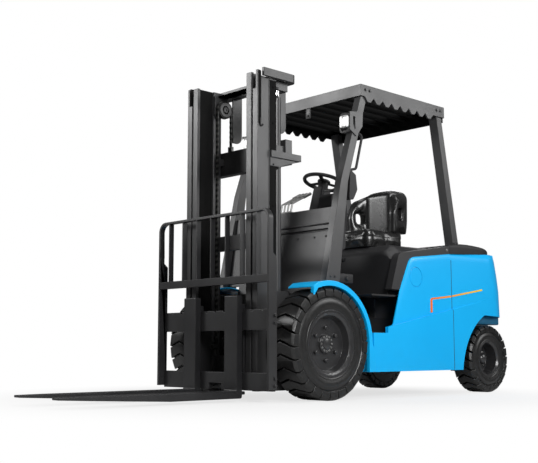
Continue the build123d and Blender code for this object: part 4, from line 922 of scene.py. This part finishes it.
# Carriage and backrest: flame-cut bars and welded strip in charcoal paint, rubbed where loads lean on them.
# Bolts hold the backrest's end plates to both bars.
carriage_paint = satin_paint("carriage_paint", (0.014, 0.014, 0.015), 0.38, 0.12)
eased(carriage_paint, 0.0025, "carriage_frame")
eased(carriage_paint, 0.002, "load_backrest")
for side, way, hand in sides:
    bolts(f"backrest_bolts_{side}", [at(x, 549 * hand, z) for x, z in ((446, 525), (446, 480), (446, 145), (446, 103))],
          way, 0.011, carriage_paint, "load_backrest")

# Forks: forged steel bars in black paint, hung on the carriage by their hooks.
# A spring latch pin in the top hook keeps each one in its notch.
fork_paint = satin_paint("fork_paint", (0.008, 0.008, 0.009), 0.4, 0.12)
eased(fork_paint, 0.004, "fork_left", "fork_right")
for side, way, hand in sides:
    turned(f"fork_latch_{side}", [(0.0, 0.036), (0.008, 0.035), (0.012, 0.030), (0.012, 0.022), (0.006, 0.018),
                                  (0.006, 0.006), (0.016, 0.004), (0.016, -0.001)],
           at(440, 203 * hand, 602), "+Z", 20, bolt_zinc.material, f"fork_{side}")

# Tow pin: a turned steel pin with rounded ends.
# It is dropped through the pocket in the tail, and nothing else holds it.
turned("tow_pin", [(0.0, 0.21), (0.013, 0.21), (0.015, 0.207), (0.015, 0.012), (0.012, 0.0), (0.0, -0.002)],
       at(-2052, 0, 380), "+Z", 24, bolt_zinc.material, "counterweight")

# Studio: a pale floor that keeps the shadow, a white surround for the camera, and large soft lamps.
# The camera stands low, in front of the truck and to its left.
bpy.ops.object.select_all(action="DESELECT")
bpy.ops.mesh.primitive_plane_add(size=80)
floor = bpy.context.object
floor.name = "studio_floor"
ground = Finish("studio_floor", Roughness=0.7, Specular_IOR_Level=0.1)
far = ground.node("VectorMath", {"operation": "LENGTH"}, 1, {0: ground.place})
ground.set(Base_Color=ground.ramp(far, 2.0, 4.5, (0.6, 0.6, 0.6), (0.12, 0.12, 0.12)))
clear = ground.node("MapRange", {"interpolation_type": "SMOOTHSTEP"}, 0,
                    {"Value": far, "From Min": 1.0, "From Max": 2.6, "To Min": 0.72, "To Max": 1.0})
seen = ground.node("LightPath", output=0)
glow = ground.node("Emission", inputs={"Color": (1, 1, 1), "Strength": 1.0})
mixed = ground.node("MixShader", inputs={0: clear * seen, 2: glow})
ground.tree.links.new(ground.shader.outputs[0], mixed.socket.node.inputs[1])
ground.tree.links.new(mixed.socket, ground.tree.nodes["Material Output"].inputs["Surface"])
floor.data.materials.append(ground.material)

world = bpy.data.worlds.new("studio")
bpy.context.scene.world = world
world.use_nodes = True
sky = Signal(world.node_tree)
shown = (sky.node("LightPath", output=0) + sky.node("LightPath", output=6)).clamped()
mirrored = sky.node("LightPath", output=3)
backdrop = world.node_tree.nodes["Background"]
backdrop.inputs["Color"].default_value = (1, 1, 1, 1)
strength = 0.06 + 0.94 * shown + 0.05 * mirrored
world.node_tree.links.new(strength.clamped().socket, backdrop.inputs["Strength"])

lamps = {
    "side": ((2.6, 5.8, 3.4), 2.6, 360, (-0.2, 0, 0.9)),
    "sheen": ((-4.4, 4.8, 3.4), 3.0, 130, (0.0, 0.3, 1.3)),
    "front": ((4.8, -4.2, 3.8), 2.6, 210, (0.4, 0, 1.5)),
    "top": ((-0.4, 0.6, 5.8), 3.2, 130, (-0.4, 0, 0.8)),
    "back": ((-5.0, -4.0, 3.4), 3.0, 80, (0, 0, 0.9)),
}
for name, (spot, size, watts, aim) in lamps.items():
    bpy.ops.object.light_add(type="AREA", location=spot)
    lamp = bpy.context.object
    lamp.name = f"lamp_{name}"
    lamp.data.shape = "DISK"
    lamp.data.size = size
    lamp.data.energy = watts
    lamp.rotation_euler = (Vector(aim) - Vector(spot)).to_track_quat("-Z", "Y").to_euler()

camera_forward = Vector((-0.6853, -0.7179, 0.1224))
bpy.ops.object.camera_add(location=at(4459.2, 4700.4, 322.1))
camera = bpy.context.object
camera.rotation_euler = camera_forward.to_track_quat("-Z", "Y").to_euler()
camera.data.lens = 63.78
camera.data.sensor_width = 36
camera.data.sensor_fit = "HORIZONTAL"
camera.data.clip_end = 200
bpy.context.scene.camera = camera
bpy.context.scene.view_settings.view_transform = "Standard"
